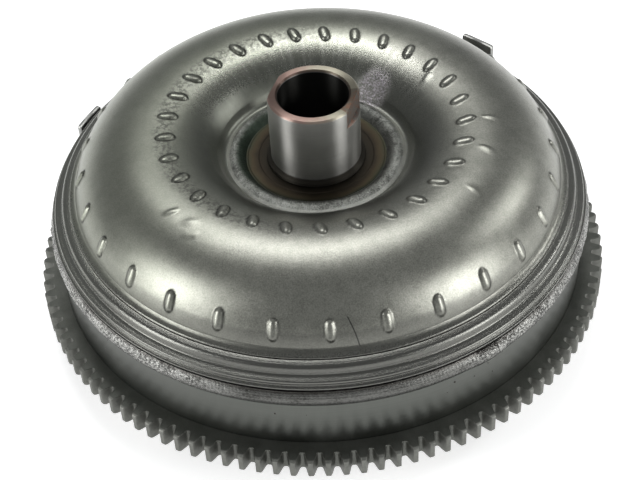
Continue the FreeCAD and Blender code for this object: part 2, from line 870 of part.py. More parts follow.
def clutch_springs():
    """Folded strip springs that push the rollers up their ramps."""
    first = math.degrees((roller_radius + leaf) / roller_pitch()) + pocket_margin
    last = pocket_slack - 2 * pocket_margin
    inside = clutch_track + land_gap + leaf
    outside = clutch_track + 2 * roller_radius - 2 * leaf
    middle = []
    for i in range(leaf_folds + 1):
        turn = math.radians(first + (last - first) * i / leaf_folds)
        radius = inside if i % 2 else outside
        middle.append(FreeCAD.Vector(radius * math.cos(turn), radius * math.sin(turn), clutch_bottom + 2))
    strips = []
    for a, b in zip(middle, middle[1:]):
        along = (b - a).normalize()
        side = FreeCAD.Vector(-along.y, along.x, 0) * (leaf / 2)
        reach = along * (leaf / 2)
        corners = [a + side - reach, b + side + reach, b - side + reach, a - side - reach, a + side - reach]
        strip = Part.Face(Part.makePolygon(corners))
        strips.append(strip.extrude(FreeCAD.Vector(0, 0, clutch_length - 4)))
    spring = only_solid(strips[0].fuse(strips[1:]).removeSplitter())
    return round_pattern(spring, roller_count)


# ---- turbine ----

def turbine_shell():
    """Pressed turbine shell with a flat inner flange."""
    low = turbine_flange_z - turbine_sheet
    outer_reach = ellipse_reach(turbine_half_width, turbine_half_height, low)
    inner_reach = ellipse_reach(fluid_half_width, turbine_fluid_height, turbine_flange_z)
    outer_start = 180 + math.degrees(math.acos(outer_reach / turbine_half_width))
    inner_start = 180 + math.degrees(math.acos(inner_reach / fluid_half_width))
    outer_end = 360 + ellipse_angle_at_height(turbine_half_height, turbine_edge_z)
    inner_end = 360 + ellipse_angle_at_height(turbine_fluid_height, turbine_edge_z)
    path = [(turbine_hole, low), (torus_radius - outer_reach, low)]
    path.append(ellipse_run(turbine_half_width, turbine_half_height, outer_start, outer_end))
    path.append(ellipse_point(fluid_half_width, turbine_fluid_height, inner_end))
    path.append(ellipse_run(fluid_half_width, turbine_fluid_height, inner_end, inner_start))
    path.append((turbine_hole, turbine_flange_z))
    return only_solid(turned(path).cut(rivet_shanks()))


def turbine_blades():
    """Curved sheet vanes between the turbine shell and its core ring."""
    low = torus_z - turbine_half_height
    space = fluid_space(fluid_half_width, turbine_fluid_height, low, turbine_edge_z)
    space = space.cut(disc(shroud_outer + core_clearance, turbine_seat_z, turbine_edge_z + 1))
    tip = torus_radius + torus_half_width
    sheet = curved_sheet(turbine_hub_flange, tip, turbine_lean, low, turbine_edge_z)
    blade = only_solid(sheet.common(space))
    return round_pattern(blade, turbine_blade_count)


def turbine_core_ring():
    """Inner ring that ties the turbine vanes together."""
    return core_half(torus_z - core_half_height - 1.0, turbine_edge_z)


def turbine_hub():
    """Splined hub: journal for the piston, flange for the shell, seat for the bearing."""
    low = journal_z
    seal_low = web_z + seal_rise
    boss = turbine_hole - play
    body = turned([
        (input_bore / 2, low),
        (journal_radius, low),
        (journal_radius, seal_low),
        (journal_radius - seal_depth, seal_low),
        (journal_radius - seal_depth, seal_low + seal_height),
        (journal_radius, seal_low + seal_height),
        (journal_radius, turbine_hub_flange_z - neck_height),
        (rivet_circle - rivet_head - rivet_room, turbine_hub_flange_z),
        (turbine_hub_flange, turbine_hub_flange_z),
        (turbine_hub_flange, turbine_flange_z - turbine_sheet),
        (boss, turbine_flange_z - turbine_sheet),
        (boss, turbine_seat_z),
        (input_bore / 2, turbine_seat_z),
    ])
    core = splined(input_bore, input_spline_depth, input_spline_teeth, low - 1, turbine_seat_z + 1)
    return only_solid(body.cut([core] + rivet_shanks()))


def rivet_shanks():
    """Shanks of the turbine rivets through the hub flange and the shell."""
    start = FreeCAD.Vector(rivet_circle, 0, turbine_hub_flange_z)
    length = turbine_flange_z - turbine_hub_flange_z
    return round_pattern(Part.makeCylinder(rivet_radius, length, start), rivet_count)


def turbine_rivets():
    """Cone head rivets that hold the turbine shell to its hub."""
    high = turbine_flange_z
    low = turbine_hub_flange_z
    tall = rivet_head_height
    rivet = turned([
        (0, low - tall),
        (rivet_radius, low - tall),
        (rivet_head, low),
        (rivet_radius, low),
        (rivet_radius, high),
        (rivet_head, high),
        (rivet_radius, high + tall),
        (0, high + tall),
    ])
    rivet.translate(FreeCAD.Vector(rivet_circle, 0, 0))
    return round_pattern(rivet, rivet_count)


def tang_azimuth():
    """Azimuth of the first gap between damper springs."""
    return 180.0 / spring_count


def damper_drive_ring():
    """Ring welded on the turbine shell, with a tang between each pair of springs."""
    thick = drive_ring_sheet
    band = oval_ring(turbine_half_width + thick, turbine_half_height + thick)
    lowest = torus_z - turbine_half_height - thick
    band = band.common(ring(spring_circle - band_inner, spring_circle + band_outer, lowest, torus_z))
    low = piston_z + piston_sheet + spring_clearance + apply_gap
    share = (spring_circle - torus_radius) / turbine_half_width
    root = torus_z - turbine_half_height * math.sqrt(1 - share * share)
    tang = Part.makeBox(tang_depth, tang_width, root - low)
    tang.translate(FreeCAD.Vector(spring_circle - tang_depth / 2, -tang_width / 2, low))
    body = band.fuse(round_pattern(tang, spring_count, tang_azimuth()))
    return only_solid(body.cut(oval_ring(turbine_half_width, turbine_half_height)))


def piston_seal_ring():
    """Square section seal in the turbine hub's groove."""
    low = web_z + seal_rise + play
    inner = journal_radius - seal_depth + play
    return ring(inner, journal_radius - seal_clearance, low, low + seal_height - 2 * play)


def front_thrust_washer():
    """Bronze washer between the cover and the turbine hub."""
    return ring(washer_inner, journal_radius - washer_inset, cover_inside_z, cover_inside_z + washer)


# ---- lock-up clutch ----

def lockup_piston():
    """Pressed piston: sleeve, dished web, lining land and outer rim with spring stops."""
    sleeve = piston_bore + sleeve_wall
    rim = piston_rim - piston_sheet
    foot = web_z - sleeve_drop
    edge = retainer_inner - web_edge
    body = turned([
        (piston_bore, foot),
        (sleeve, foot),
        (sleeve, web_z),
        (edge - web_slope, web_z),
        (edge, piston_z),
        (piston_rim, piston_z),
        (piston_rim, piston_z + piston_rim_height),
        (rim, piston_z + piston_rim_height),
        (rim, piston_z + piston_sheet),
        (edge + 1.0, piston_z + piston_sheet),
        (edge + 1.0 - web_slope, web_z + piston_sheet),
        (sleeve, web_z + piston_sheet),
        (sleeve, foot + sleeve_length),
        (piston_bore, foot + sleeve_length),
    ])
    depth = rim - (spring_circle + tang_depth / 2 + stop_clearance)
    stop = Part.makeBox(depth + piston_sheet / 2, tang_width, spring_radius * 2)
    low = piston_z + piston_sheet
    stop.translate(FreeCAD.Vector(rim - depth, -tang_width / 2, low))
    body = body.fuse(round_pattern(stop, spring_count, tang_azimuth()))
    return only_solid(body.cut(retainer_rivet_shanks()))


def friction_lining():
    """Paper friction ring bonded to the piston."""
    return ring(lining_inner, lining_outer, lining_z, lining_z + lining)


def spring_retainer():
    """Pressed ring riveted to the piston, with an inner wall and stops for the springs."""
    low = piston_z + piston_sheet
    wall_inner = spring_circle - spring_radius - wall_room
    wall_outer = wall_inner + retainer_sheet
    high = spring_z + spring_radius
    body = turned([
        (retainer_inner, low),
        (wall_outer, low),
        (wall_outer, high),
        (wall_inner, high),
        (wall_inner, low + retainer_sheet),
        (retainer_inner, low + retainer_sheet),
    ])
    sink = retainer_sheet / 2
    reach = spring_circle - tang_depth / 2 - stop_clearance - wall_outer
    stop = Part.makeBox(reach + sink, tang_width, spring_radius * 2)
    stop.translate(FreeCAD.Vector(wall_outer - sink, -tang_width / 2, low))
    body = body.fuse(round_pattern(stop, spring_count, tang_azimuth()))
    return only_solid(body.cut(retainer_rivet_shanks()))


def retainer_rivet_shanks():
    """Shanks of the retainer rivets through the piston and the retainer."""
    start = FreeCAD.Vector(retainer_inner + retainer_rivet_inset, 0, piston_z)
    length = piston_sheet + retainer_sheet
    return round_pattern(Part.makeCylinder(retainer_rivet_radius, length, start), spring_count)


def retainer_rivets():
    """Flat rivets that hold the spring retainer to the piston."""
    low = piston_z
    high = low + piston_sheet + retainer_sheet
    radius = retainer_rivet_radius
    rivet = turned([
        (0, low),
        (radius, low),
        (radius, high),
        (radius + retainer_head, high),
        (radius + retainer_head / 2, high + retainer_head_height),
        (0, high + retainer_head_height),
    ])
    rivet.translate(FreeCAD.Vector(retainer_inner + retainer_rivet_inset, 0, 0))
    return round_pattern(rivet, spring_count)


def damper_springs():
    """Straight coil springs that lie end to end round the piston's edge."""
    half_angle = math.radians((360.0 / spring_count - spring_end_gap) / 2)
    mean = spring_radius - spring_wire
    length = 2 * spring_circle * math.sin(half_angle) - 2 * spring_wire
    line = Part.makeHelix(length / spring_turns, length, mean)
    start = FreeCAD.Vector(mean, 0, 0)
    wire_section = Part.Wire([Part.makeCircle(spring_wire, start, FreeCAD.Vector(0, 1, 0))])
    sweep = Part.BRepOffsetAPI.MakePipeShell(Part.Wire(line))
    sweep.setFrenetMode(True)
    sweep.add(wire_section)
    sweep.build()
    sweep.makeSolid()
    coil = sweep.shape()
    coil.translate(FreeCAD.Vector(0, 0, -length / 2))
    coil.rotate(FreeCAD.Vector(0, 0, 0), FreeCAD.Vector(1, 0, 0), 90)
    place = spring_circle * (1 + math.cos(half_angle)) / 2
    coil.translate(FreeCAD.Vector(place, 0, spring_z))
    return round_pattern(coil, spring_count)


# ---- write every node ----

cover = front_cover()
gear = ring_gear()

save("impeller_shell", impeller_shell())
save("impeller_hub", impeller_hub())
save("hub_flange", hub_flange_ring())
save("hub_weld", hub_weld())
save("impeller_blades", impeller_blades())
save("impeller_core_ring", impeller_core_ring())
save("front_cover", cover)
save("seam_weld", seam_weld())
save("ring_gear", gear)
save("ring_gear_welds", ring_gear_welds(cover, gear))
save("pilot_hub", pilot_hub())
save("pilot_weld", pilot_weld())
save("mounting_pads", mounting_pads())
save("mounting_pad_welds", mounting_pad_welds())
save("balance_weight_left", balance_weight(weight_left_azimuth, weight_left_top))
save("balance_weight_right", balance_weight(weight_right_azimuth, weight_right_top))
save("balance_weight_welds", balance_weight_welds())
save("front_thrust_washer", front_thrust_washer())

upper_needles_z = stack_top - race - play - needle_diameter
lower_needles_z = lower_cap_z - race - play - needle_diameter
save("hub_bearing_race", bearing_race(stack_top - race))
save("hub_bearing_needles", needle_row(upper_needles_z))
save("hub_bearing_cage", needle_cage(upper_needles_z))
save("stator_upper_race", bearing_race(upper_cap_z))
save("stator_lower_race", bearing_race(lower_cap_z - race))
save("turbine_bearing_needles", needle_row(lower_needles_z))
save("turbine_bearing_cage", needle_cage(lower_needles_z))
save("turbine_bearing_race", bearing_race(turbine_seat_z))

save("stator_wheel", stator_wheel())
save("stator_snap_ring", stator_snap_ring())
save("clutch_upper_cap", clutch_cap(clutch_top, stator_bore + stator_spline_depth + cap_bore_room))
save("clutch_lower_cap", clutch_cap(lower_cap_z, stator_bore + stator_spline_depth + cap_bore_room))
save("clutch_outer_race", clutch_outer_race())
save("clutch_inner_race", clutch_inner_race())
save("clutch_rollers", clutch_rollers())
save("clutch_springs", clutch_springs())

save("turbine_shell", turbine_shell())
save("turbine_blades", turbine_blades())
save("turbine_core_ring", turbine_core_ring())
save("turbine_hub", turbine_hub())
save("turbine_rivets", turbine_rivets())
save("damper_drive_ring", damper_drive_ring())
save("piston_seal_ring", piston_seal_ring())

save("lockup_piston", lockup_piston())
save("friction_lining", friction_lining())
save("spring_retainer", spring_retainer())
save("retainer_rivets", retainer_rivets())
save("damper_springs", damper_springs())
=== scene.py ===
import math

import bmesh
import bpy
import numpy as np
from mathutils import Matrix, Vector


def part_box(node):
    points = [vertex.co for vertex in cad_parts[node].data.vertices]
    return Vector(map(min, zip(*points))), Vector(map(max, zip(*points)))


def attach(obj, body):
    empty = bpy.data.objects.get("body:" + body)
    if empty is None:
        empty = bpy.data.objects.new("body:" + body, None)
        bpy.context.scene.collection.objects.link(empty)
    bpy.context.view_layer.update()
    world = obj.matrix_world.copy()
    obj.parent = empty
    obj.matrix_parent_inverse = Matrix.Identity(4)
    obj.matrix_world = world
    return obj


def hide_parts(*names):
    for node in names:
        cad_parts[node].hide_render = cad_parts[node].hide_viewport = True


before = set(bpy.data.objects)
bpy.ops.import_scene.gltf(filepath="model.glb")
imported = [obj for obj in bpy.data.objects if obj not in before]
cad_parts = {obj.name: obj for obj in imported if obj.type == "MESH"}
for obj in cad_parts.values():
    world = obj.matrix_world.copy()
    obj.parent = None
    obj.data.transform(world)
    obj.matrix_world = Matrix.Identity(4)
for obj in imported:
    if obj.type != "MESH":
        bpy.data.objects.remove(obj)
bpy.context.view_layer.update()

# ---- camera ----
# Stands in front of the converter and well above it, with a long lens, tilted a little.

aim = np.array([-0.00073, 0.0, 0.02489])
elevation = math.radians(44.62)
tilt = math.radians(-3.36)
distance = 0.7437
across = np.array([1.0, 0.0, 0.0])
back = np.array([0.0, -math.cos(elevation), math.sin(elevation)])
above = np.array([0.0, math.sin(elevation), math.cos(elevation)])
right = math.cos(tilt) * across + math.sin(tilt) * above
upward = -math.sin(tilt) * across + math.cos(tilt) * above
camera_place = np.eye(4)
camera_place[:3, :] = np.column_stack([right, upward, back, aim + distance * back])
camera = bpy.data.objects.new("camera", bpy.data.cameras.new("camera"))
camera.data.sensor_width = 36.0
camera.data.lens = 79.96
camera.data.clip_start = 0.01
bpy.context.scene.collection.objects.link(camera)
camera.matrix_world = Matrix(camera_place.tolist())
bpy.context.scene.camera = camera
bpy.context.scene.view_settings.view_transform = "Standard"

# ---- floor and light ----
# A plain white floor, a soft grey sky, a tall soft lamp on each side, one behind, high up, and a
# small one at the right.

mm = 0.001
floor_mesh = bpy.data.meshes.new("floor")
floor_reach = 6.0
floor_corners = np.array([(-1, -1, 0), (1, -1, 0), (1, 1, 0), (-1, 1, 0)]) * floor_reach
floor_mesh.from_pydata(floor_corners.tolist(), [], [(0, 1, 2, 3)])
floor = bpy.data.objects.new("floor", floor_mesh)
bpy.context.scene.collection.objects.link(floor)


class Wire:
    """A socket in a material's node tree. Arithmetic on it adds Math nodes."""

    def __init__(self, tree, socket):
        self.tree, self.socket = tree, socket

    def node(self, kind, settings=None, sockets=None, out=0):
        """Adds a node: its settings first, then each socket's value or wire; out picks the outputs."""
        new = self.tree.nodes.new("ShaderNode" + kind)
        for key, value in (settings or {}).items():
            if key == "stops":
                for spare in range(len(value) - len(new.color_ramp.elements)):
                    new.color_ramp.elements.new(1.0)
                for element, (position, colour) in zip(new.color_ramp.elements, value):
                    element.position, element.color = position, (*colour, 1.0)
            else:
                setattr(new, key, value)
        for key, value in (sockets or {}).items():
            if isinstance(value, Wire):
                self.tree.links.new(value.socket, new.inputs[key])
            else:
                new.inputs[key].default_value = value
        if isinstance(out, tuple):
            return [Wire(self.tree, new.outputs[key]) for key in out]
        return Wire(self.tree, new.outputs[out])

    def math(self, operation, *others):
        return self.node("Math", {"operation": operation}, dict(enumerate((self, *others))))

    def __add__(self, other):
        return self.math("ADD", other)

    def __sub__(self, other):
        return self.math("SUBTRACT", other)

    def __rsub__(self, other):
        return (self * -1.0) + other

    def __mul__(self, other):
        return self.math("MULTIPLY", other)

    def __truediv__(self, other):
        return self.math("DIVIDE", other)

    def __abs__(self):
        return self.math("ABSOLUTE")

    __radd__, __rmul__ = __add__, __mul__

    def rise(self, low, high):
        """0 below low, 1 above high, smooth between; a low above high turns it round."""
        sockets = {"Value": self, "From Min": low, "From Max": high}
        return self.node("MapRange", {"interpolation_type": "SMOOTHSTEP"}, sockets)

    def noise(self, scale, detail=2.0, rough=0.5):
        """Noise from 0 to 1 at a place in millimetres, with scale features to the millimetre."""
        sockets = {"Vector": self, "Scale": scale, "Detail": detail, "Roughness": rough}
        return self.node("TexNoise", None, sockets)

    def mixed(self, first, second):
        """This wire's share of the second colour over the first, each a wire or an (r, g, b)."""
        first, second = ((*side, 1.0) if isinstance(side, tuple) else side for side in (first, second))
        return self.node("Mix", {"data_type": "RGBA"}, {0: self, 6: first, 7: second}, 2)

    def feed(self, shader, name):
        self.tree.links.new(self.socket, shader.inputs[name])


def finish(name, metallic=1.0, **constants):
    """A new material with its constants set; gives it, its shader and the place in millimetres."""
    made = bpy.data.materials.new(name)
    made.use_nodes = True
    tree = made.node_tree
    tree.nodes.clear()
    shader = tree.nodes.new("ShaderNodeBsdfPrincipled")
    output = tree.nodes.new("ShaderNodeOutputMaterial")
    tree.links.new(shader.outputs[0], output.inputs[0])
    shader.inputs["Metallic"].default_value = metallic
    for key, value in constants.items():
        shader.inputs[key.replace("_", " ").title().replace("Ior", "IOR")].default_value = value
    place = tree.nodes.new("ShaderNodeTexCoord")
    start = Wire(tree, place.outputs["Object"])
    return made, shader, start.node("VectorMath", {"operation": "SCALE"}, {0: start, "Scale": 1000.0})


def skin(shader, colour, gloss, height, strength, reach):
    """Feeds the shader a colour, a roughness, and a height in millimetres as bump."""
    colour.feed(shader, "Base Color")
    gloss.feed(shader, "Roughness")
    sockets = {"Strength": strength, "Distance": reach * mm, "Height": height}
    height.node("Bump", None, sockets).feed(shader, "Normal")


floor_finish, floor_shader, floor_place = finish("floor_white", 0.0, roughness=0.9)
floor_tone = floor_place.noise(0.01).mixed((0.86, 0.86, 0.86), (0.90, 0.90, 0.90))
floor_tone.feed(floor_shader, "Base Color")
floor_shader.inputs["Emission Color"].default_value = (1.0, 1.0, 1.0, 1.0)
floor_shader.inputs["Emission Strength"].default_value = 0.50
floor_mesh.materials.append(floor_finish)

sky = bpy.data.worlds.new("sky")
sky.use_nodes = True
sky.node_tree.nodes["Background"].inputs["Color"].default_value = (0.93, 0.95, 0.96, 1.0)
sky.node_tree.nodes["Background"].inputs["Strength"].default_value = 0.36
bpy.context.scene.world = sky


lamp_reach, lamp_aim = 1.5, np.array([0.0, 0.0, 0.06])


def softbox(name, azimuth, height, width, depth, power):
    """A rectangular lamp at an azimuth and elevation, in degrees, facing the object's middle."""
    turn, rise = math.radians(azimuth), math.radians(height)
    out = np.array([math.cos(rise) * math.cos(turn), math.cos(rise) * math.sin(turn), math.sin(rise)])
    side = np.array([-math.sin(turn), math.cos(turn), 0.0])
    place = np.eye(4)
    place[:3, :] = np.column_stack([side, np.cross(out, side), out, out * lamp_reach + lamp_aim])
    lamp = bpy.data.lights.new(name, "AREA")
    lamp.shape, lamp.size, lamp.size_y, lamp.energy = "RECTANGLE", width, depth, power
    holder = bpy.data.objects.new(name, lamp)
    bpy.context.scene.collection.objects.link(holder)
    holder.matrix_world = Matrix(place.tolist())


softbox("lamp_left", -156.0, 18.0, 0.60, 0.95, 13.0)
softbox("lamp_right", -31.0, 16.0, 0.62, 0.82, 12.5)
softbox("lamp_top", 98.0, 64.0, 0.9, 0.50, 10.0)
softbox("lamp_window", 13.0, 31.0, 0.30, 0.20, 3.4)

# ---- front cover ----
# Deep pressed cup of 4.5 mm steel that closes the engine side. Its wall is drawn smooth, with
# faint draw lines, and its face carries the pilot and the mounting pads.

cover_low, cover_high = (np.array(corner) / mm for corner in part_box("front_cover"))
cover_radius = cover_high[0]
cover_wall = 4.5
cover_face = cover_low[2]
seam_height = cover_high[2]
pilot_root = 23.0


def rounded(corners, steps=5):
    """Closed outline of (r, z, round) corners: each corner becomes the quadratic curve from a point
    'round' before it to one 'round' after it, pulled towards the corner."""
    corners = np.array(corners, float)
    point = corners[:, :2]
    before = np.roll(point, 1, axis=0) - point
    after = np.roll(point, -1, axis=0) - point
    length_before = np.linalg.norm(before, axis=1, keepdims=True)
    length_after = np.linalg.norm(after, axis=1, keepdims=True)
    cut = np.minimum(corners[:, 2:], 0.49 * np.minimum(length_before, length_after))
    start = (point + before / length_before * cut)[:, None]
    end = (point + after / length_after * cut)[:, None]
    t = np.linspace(0.0, 1.0, steps)[None, :, None]
    return ((1 - t) ** 2 * start + 2 * t * (1 - t) * point[:, None] + t ** 2 * end).reshape(-1, 2)


def spaced(outline, step):
    """The closed outline with points added evenly, so that no run is longer than step."""
    ahead = np.roll(outline, -1, axis=0) - outline
    parts = np.maximum(1, np.ceil(np.linalg.norm(ahead, axis=1) / step)).astype(int)
    first = np.repeat(np.arange(len(outline)), parts)
    count = np.arange(len(first)) - np.repeat(np.cumsum(parts) - parts, parts)
    return outline[first] + ahead[first] * (count / np.repeat(parts, parts))[:, None]


def swept(r, turn, z):
    """Points (r cos turn, r sin turn, z), with turn in radians."""
    return np.stack(np.broadcast_arrays(r * np.cos(turn), r * np.sin(turn), z), axis=-1)


def turned(outline, angles):
    """Surface of revolution: the (r, z) outline at each angle, in degrees."""
    return swept(outline[..., 0], np.radians(angles)[:, None], outline[..., 1])


def piece(name, grids, nodes, material, ring=True, loop=True, body="housing", crease=35.0):
    """Mesh from grids of points in millimetres: neighbours along and across are joined by quads.
    ring closes a grid along and loop across. Open ends along get a flat end face, and open ends
    across meet in a pole. A grid whose faces look inwards, by the sign of its volume about its
    middle, is turned round."""
    points, faces, count = [], [], 0
    for grid in grids:
        index = np.arange(grid.shape[0] * grid.shape[1]).reshape(grid.shape[:2])
        joined = np.vstack([index, index[:1]]) if ring else index
        joined = np.hstack([joined, joined[:, :1]]) if loop else joined
        corners = [joined[:-1, :-1], joined[1:, :-1], joined[1:, 1:], joined[:-1, 1:]]
        quads = np.stack(corners, axis=-1).reshape(-1, 4)
        place = grid.reshape(-1, 3)
        a, b, c, d = (place[quads[:, k]] - place.mean(axis=0) for k in range(4))
        inward = np.einsum("ij,ij->", a, np.cross(b, c) + np.cross(c, d)) < 0
        ends = [] if ring else [index[0], index[-1][::-1]]
        turn = -1 if inward else 1
        faces += (quads[:, ::turn] + count).tolist() + [(end[::turn] + count).tolist() for end in ends]
        points.append(place)
        count += len(place)
    mesh = bpy.data.meshes.new(name)
    mesh.from_pydata((np.concatenate(points) * mm).tolist(), [], faces)
    if not loop:
        shell = bmesh.new()
        shell.from_mesh(mesh)
        bmesh.ops.remove_doubles(shell, verts=shell.verts, dist=0.02 * mm)
        shell.to_mesh(mesh)
        shell.free()
    mesh.shade_smooth()
    mesh.set_sharp_from_angle(angle=math.radians(crease))
    mesh.materials.append(material)
    made = bpy.data.objects.new(name, mesh)
    bpy.context.scene.collection.objects.link(made)
    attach(made, body)
    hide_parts(*nodes)
    return made


def circle(count):
    """Azimuths of evenly spaced columns all the way round."""
    return np.arange(count) * 360.0 / count


def axis_parts(place):
    """Radius and height in millimetres, and the direction from the axis as two numbers."""
    x, y, z = place.node("SeparateXYZ", None, {0: place}, (0, 1, 2))
    radius = (x * x + y * y).math("SQRT")
    return radius, z, x / radius, y / radius


def streaks(parts, round_scale, radius_scale, height_scale, detail=3.0):
    """Noise stretched round the axis, along the radius or along the height."""
    radius, height, cosine, sine = parts
    drawn = radius.node("CombineXYZ", None, {0: cosine * round_scale + radius * radius_scale,
                                             1: sine * round_scale,
                                             2: height * height_scale + radius * radius_scale})
    return drawn.noise(1.0, detail, 0.6)


cover_steel, shader, place = finish("drawn_cover_steel")
parts = axis_parts(place)
grain = place.noise(3.0, 3.0, 0.6)
draw_lines = streaks(parts, 90.0, 0.05, 0.05)
turn_lines = streaks(parts, 1.5, 1.0, 4.0)
cloud = place.noise(0.05, 3.0)
shade = 0.12 * draw_lines + 0.4 * turn_lines + 0.48 * cloud
skin(shader, shade.mixed((0.072, 0.077, 0.070), (0.155, 0.16, 0.147)),
     0.20 + 0.22 * cloud + 0.12 * grain, grain * 0.5 + draw_lines * 0.12 + turn_lines * 0.4, 0.5, 0.05)

inside = cover_radius - cover_wall
cover_outline = rounded([
    (pilot_root, cover_face, 0.3),
    (60.0, cover_face, 3.0),
    (64.0, cover_face + 0.6, 1.5),
    (92.0, cover_face + 0.6, 1.5),
    (96.0, cover_face, 3.0),
    (cover_radius, cover_face, 5.0),
    (cover_radius, seam_height - 0.4, 0.3),
    (cover_radius - 0.4, seam_height, 0.3),
    (inside, seam_height, 0.3),
    (inside, cover_face + cover_wall, 3.2),
    (pilot_root, cover_face + cover_wall, 0.3),
], 8)
piece("front_cover_shell", [turned(spaced(cover_outline, 4.0), circle(240))],
      ["front_cover"], cover_steel)

# ---- crankshaft pilot ----
# Blind boss turned from bar, pushed through the cover's centre hole and welded round its root.

pilot_radius = 21.6
pilot_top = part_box("pilot_hub")[1].z / mm
pilot_line = rounded([
    (0.0, 0.0, 0.01), (8.0, 0.0, 0.4), (9.0, 1.6, 0.3), (10.0, 0.0, 0.4),
    (pilot_radius, 0.0, 1.4), (pilot_radius, 7.9, 0.15), (pilot_root, 8.0, 0.2),
    (pilot_root, pilot_top, 0.3), (13.0, pilot_top, 0.5), (13.0, 7.0, 0.3),
    (10.0, 5.0, 0.5), (0.0, 5.0, 0.01),
], 6)
pilot_line[pilot_line[:, 0] < 0.02, 0] = 0.0


def turned_steel(name, dark, bright, low=0.16, high=0.34):
    """Lathe turned or ground steel: fine lines round the axis, a little uneven in gloss."""
    made, shader, place = finish(name)
    parts = axis_parts(place)
    lines = streaks(parts, 0.8, 6.0, 6.0)
    fine = streaks(parts, 2.0, 18.0, 18.0)
    cloud = place.noise(0.12, 3.0)
    skin(shader, (0.6 * lines + 0.4 * cloud).mixed(dark, bright),
         low + (high - low) * (0.5 * cloud + 0.5 * fine), lines * 0.5 + fine * 0.5, 0.7, 0.04)
    return made


pilot_steel = turned_steel("turned_pilot_steel", (0.34, 0.33, 0.31), (0.56, 0.55, 0.52))
piece("pilot_boss", [turned(pilot_line, circle(128))], ["pilot_hub"],
      pilot_steel, loop=False)

# ---- pilot weld ----
# One fillet bead round the pilot's root, laid by a turning torch, so its ripples are even.

weld_seed = np.random.default_rng(7)


def waves(angle, count, low, high, size):
    """Sum of count sine waves round the axis with whole numbers of crests, so the ends meet."""
    crests = weld_seed.integers(low, high, count)[:, None]
    phase = weld_seed.uniform(0.0, 2 * math.pi, count)[:, None]
    total = np.sin(crests * angle.ravel() + phase).sum(axis=0).reshape(angle.shape)
    return size * total / math.sqrt(count)


def ripples(along, side, pitch):
    """Crescent ripples from -1 to 1: crests a pitch apart that trail towards the bead's sides."""
    return np.cos(2 * math.pi * (along + 1.1 * side ** 2) / pitch)


def bead(outline, angles, radius, pitch, depth, lumps):
    """Weld bead on a circle: the outline's points move away from its middle by ripples and lumps,
    by the share that they stand proud (the third column)."""
    turn = np.radians(angles)[:, None]
    middle = outline[:, :2].mean(axis=0)
    out = outline[:, :2] - middle
    out = out / np.maximum(np.linalg.norm(out, axis=1, keepdims=True), 1e-6)
    share = outline[:, 2]
    side = np.linspace(-1.0, 1.0, len(outline))[None, :]
    height = depth * ripples(turn * radius + waves(turn, 6, 5, 60, 0.5), side, pitch)
    coarse = waves(turn, 9, 12, 90, 0.6)
    height = height + lumps * (coarse + 0.5 * waves(turn + 0.03 * side, 9, 90, 400, 1.0))
    return outline[None, :, :2] + (height * share)[..., None] * out[None]


def arch(start, end, crown, count=14, sink=0.5):
    """Bead outline from start to end, crowned in the middle by a half sine, and closed a little
    inside the metal: rows of (r, z, share proud)."""
    t = np.linspace(0.0, 1.0, count)[:, None]
    start, end = np.array(start), np.array(end)
    run = end - start
    out = np.array([run[1], -run[0]]) / np.linalg.norm(run)
    proud = np.sin(math.pi * t)
    top = start + run * t + out * crown * proud
    under = np.array([end - out * sink, start - out * sink])
    return np.vstack([np.hstack([top, proud ** 0.5]), np.hstack([under, np.zeros((2, 1))])])


def layered(colour, *layers):
    """The colour under layers of (share, colour), each over the ones before it."""
    for share, over in layers:
        colour = share.mixed(colour, over)
    return colour


weld_metal, shader, place = finish("weld_metal")
fine = place.noise(2.2, 4.0, 0.65)
patch = place.noise(0.16, 3.0, 0.6)
spots = place.noise(0.7, 2.0).rise(0.60, 0.70)
metal = (fine * 0.8 + patch * 0.4).rise(0.35, 0.85)
stain = patch.rise(0.45, 0.75) * 0.35 + spots * 0.2
base = layered(metal.mixed((0.16, 0.155, 0.14), (0.62, 0.61, 0.57)), (stain, (0.17, 0.13, 0.09)))
skin(shader, base, 0.22 + 0.28 * fine + spots * 0.15, fine + 0.4 * place.noise(6.0, 2.0), 0.9, 0.12)

pilot_leg = 3.5
pilot_foot = cover_face - pilot_leg
pilot_bead = arch((pilot_root + pilot_leg, cover_face), (pilot_root, pilot_foot), -0.35, 10)
pilot_bead[:, :2] = np.clip(pilot_bead[:, :2], [0.0, pilot_foot], [99.0, cover_face + 0.5])
pilot_bead = bead(pilot_bead, circle(420), pilot_root, 1.7, 0.1, 0.08)
piece("pilot_weld_bead", [turned(pilot_bead, circle(420))], ["pilot_weld"], weld_metal)

# ---- mounting pads ----
# Four sawn and milled blocks with tapped holes for the drive plate bolts, welded on both long sides.

pad_circle, pad_azimuths = 114.0, (45.0, 135.0, 225.0, 315.0)
pad_half = np.array([11.0, 17.0])
pad_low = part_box("mounting_pads")[0].z / mm
pad_corner = 4.0
thread_radius, thread_pitch, thread_depth, thread_mouth = 4.25, 1.5, 0.30, 0.8


def placed(grid, azimuth):
    """A grid built on the X axis, turned about Z to an azimuth."""
    turn = math.radians(azimuth)
    cosine, sine = math.cos(turn), math.sin(turn)
    spin = np.array([[cosine, -sine, 0], [sine, cosine, 0], [0, 0, 1]])
    return grid @ spin.T


def round_box(half, corner, lead):
    """Where rays along the unit vectors leave a rectangle with round corners about the origin."""
    hit = np.min(half / np.maximum(np.abs(lead), 1e-9), axis=1)[:, None] * lead
    core = np.clip(hit, corner - half, half - corner)
    arm = hit - core
    return core + arm * corner / np.linalg.norm(arm, axis=1, keepdims=True)


def directions(count):
    """Unit vectors evenly spaced round the origin."""
    return turned(np.array([[1.0, 0.0]]), circle(count))[:, 0, :2]


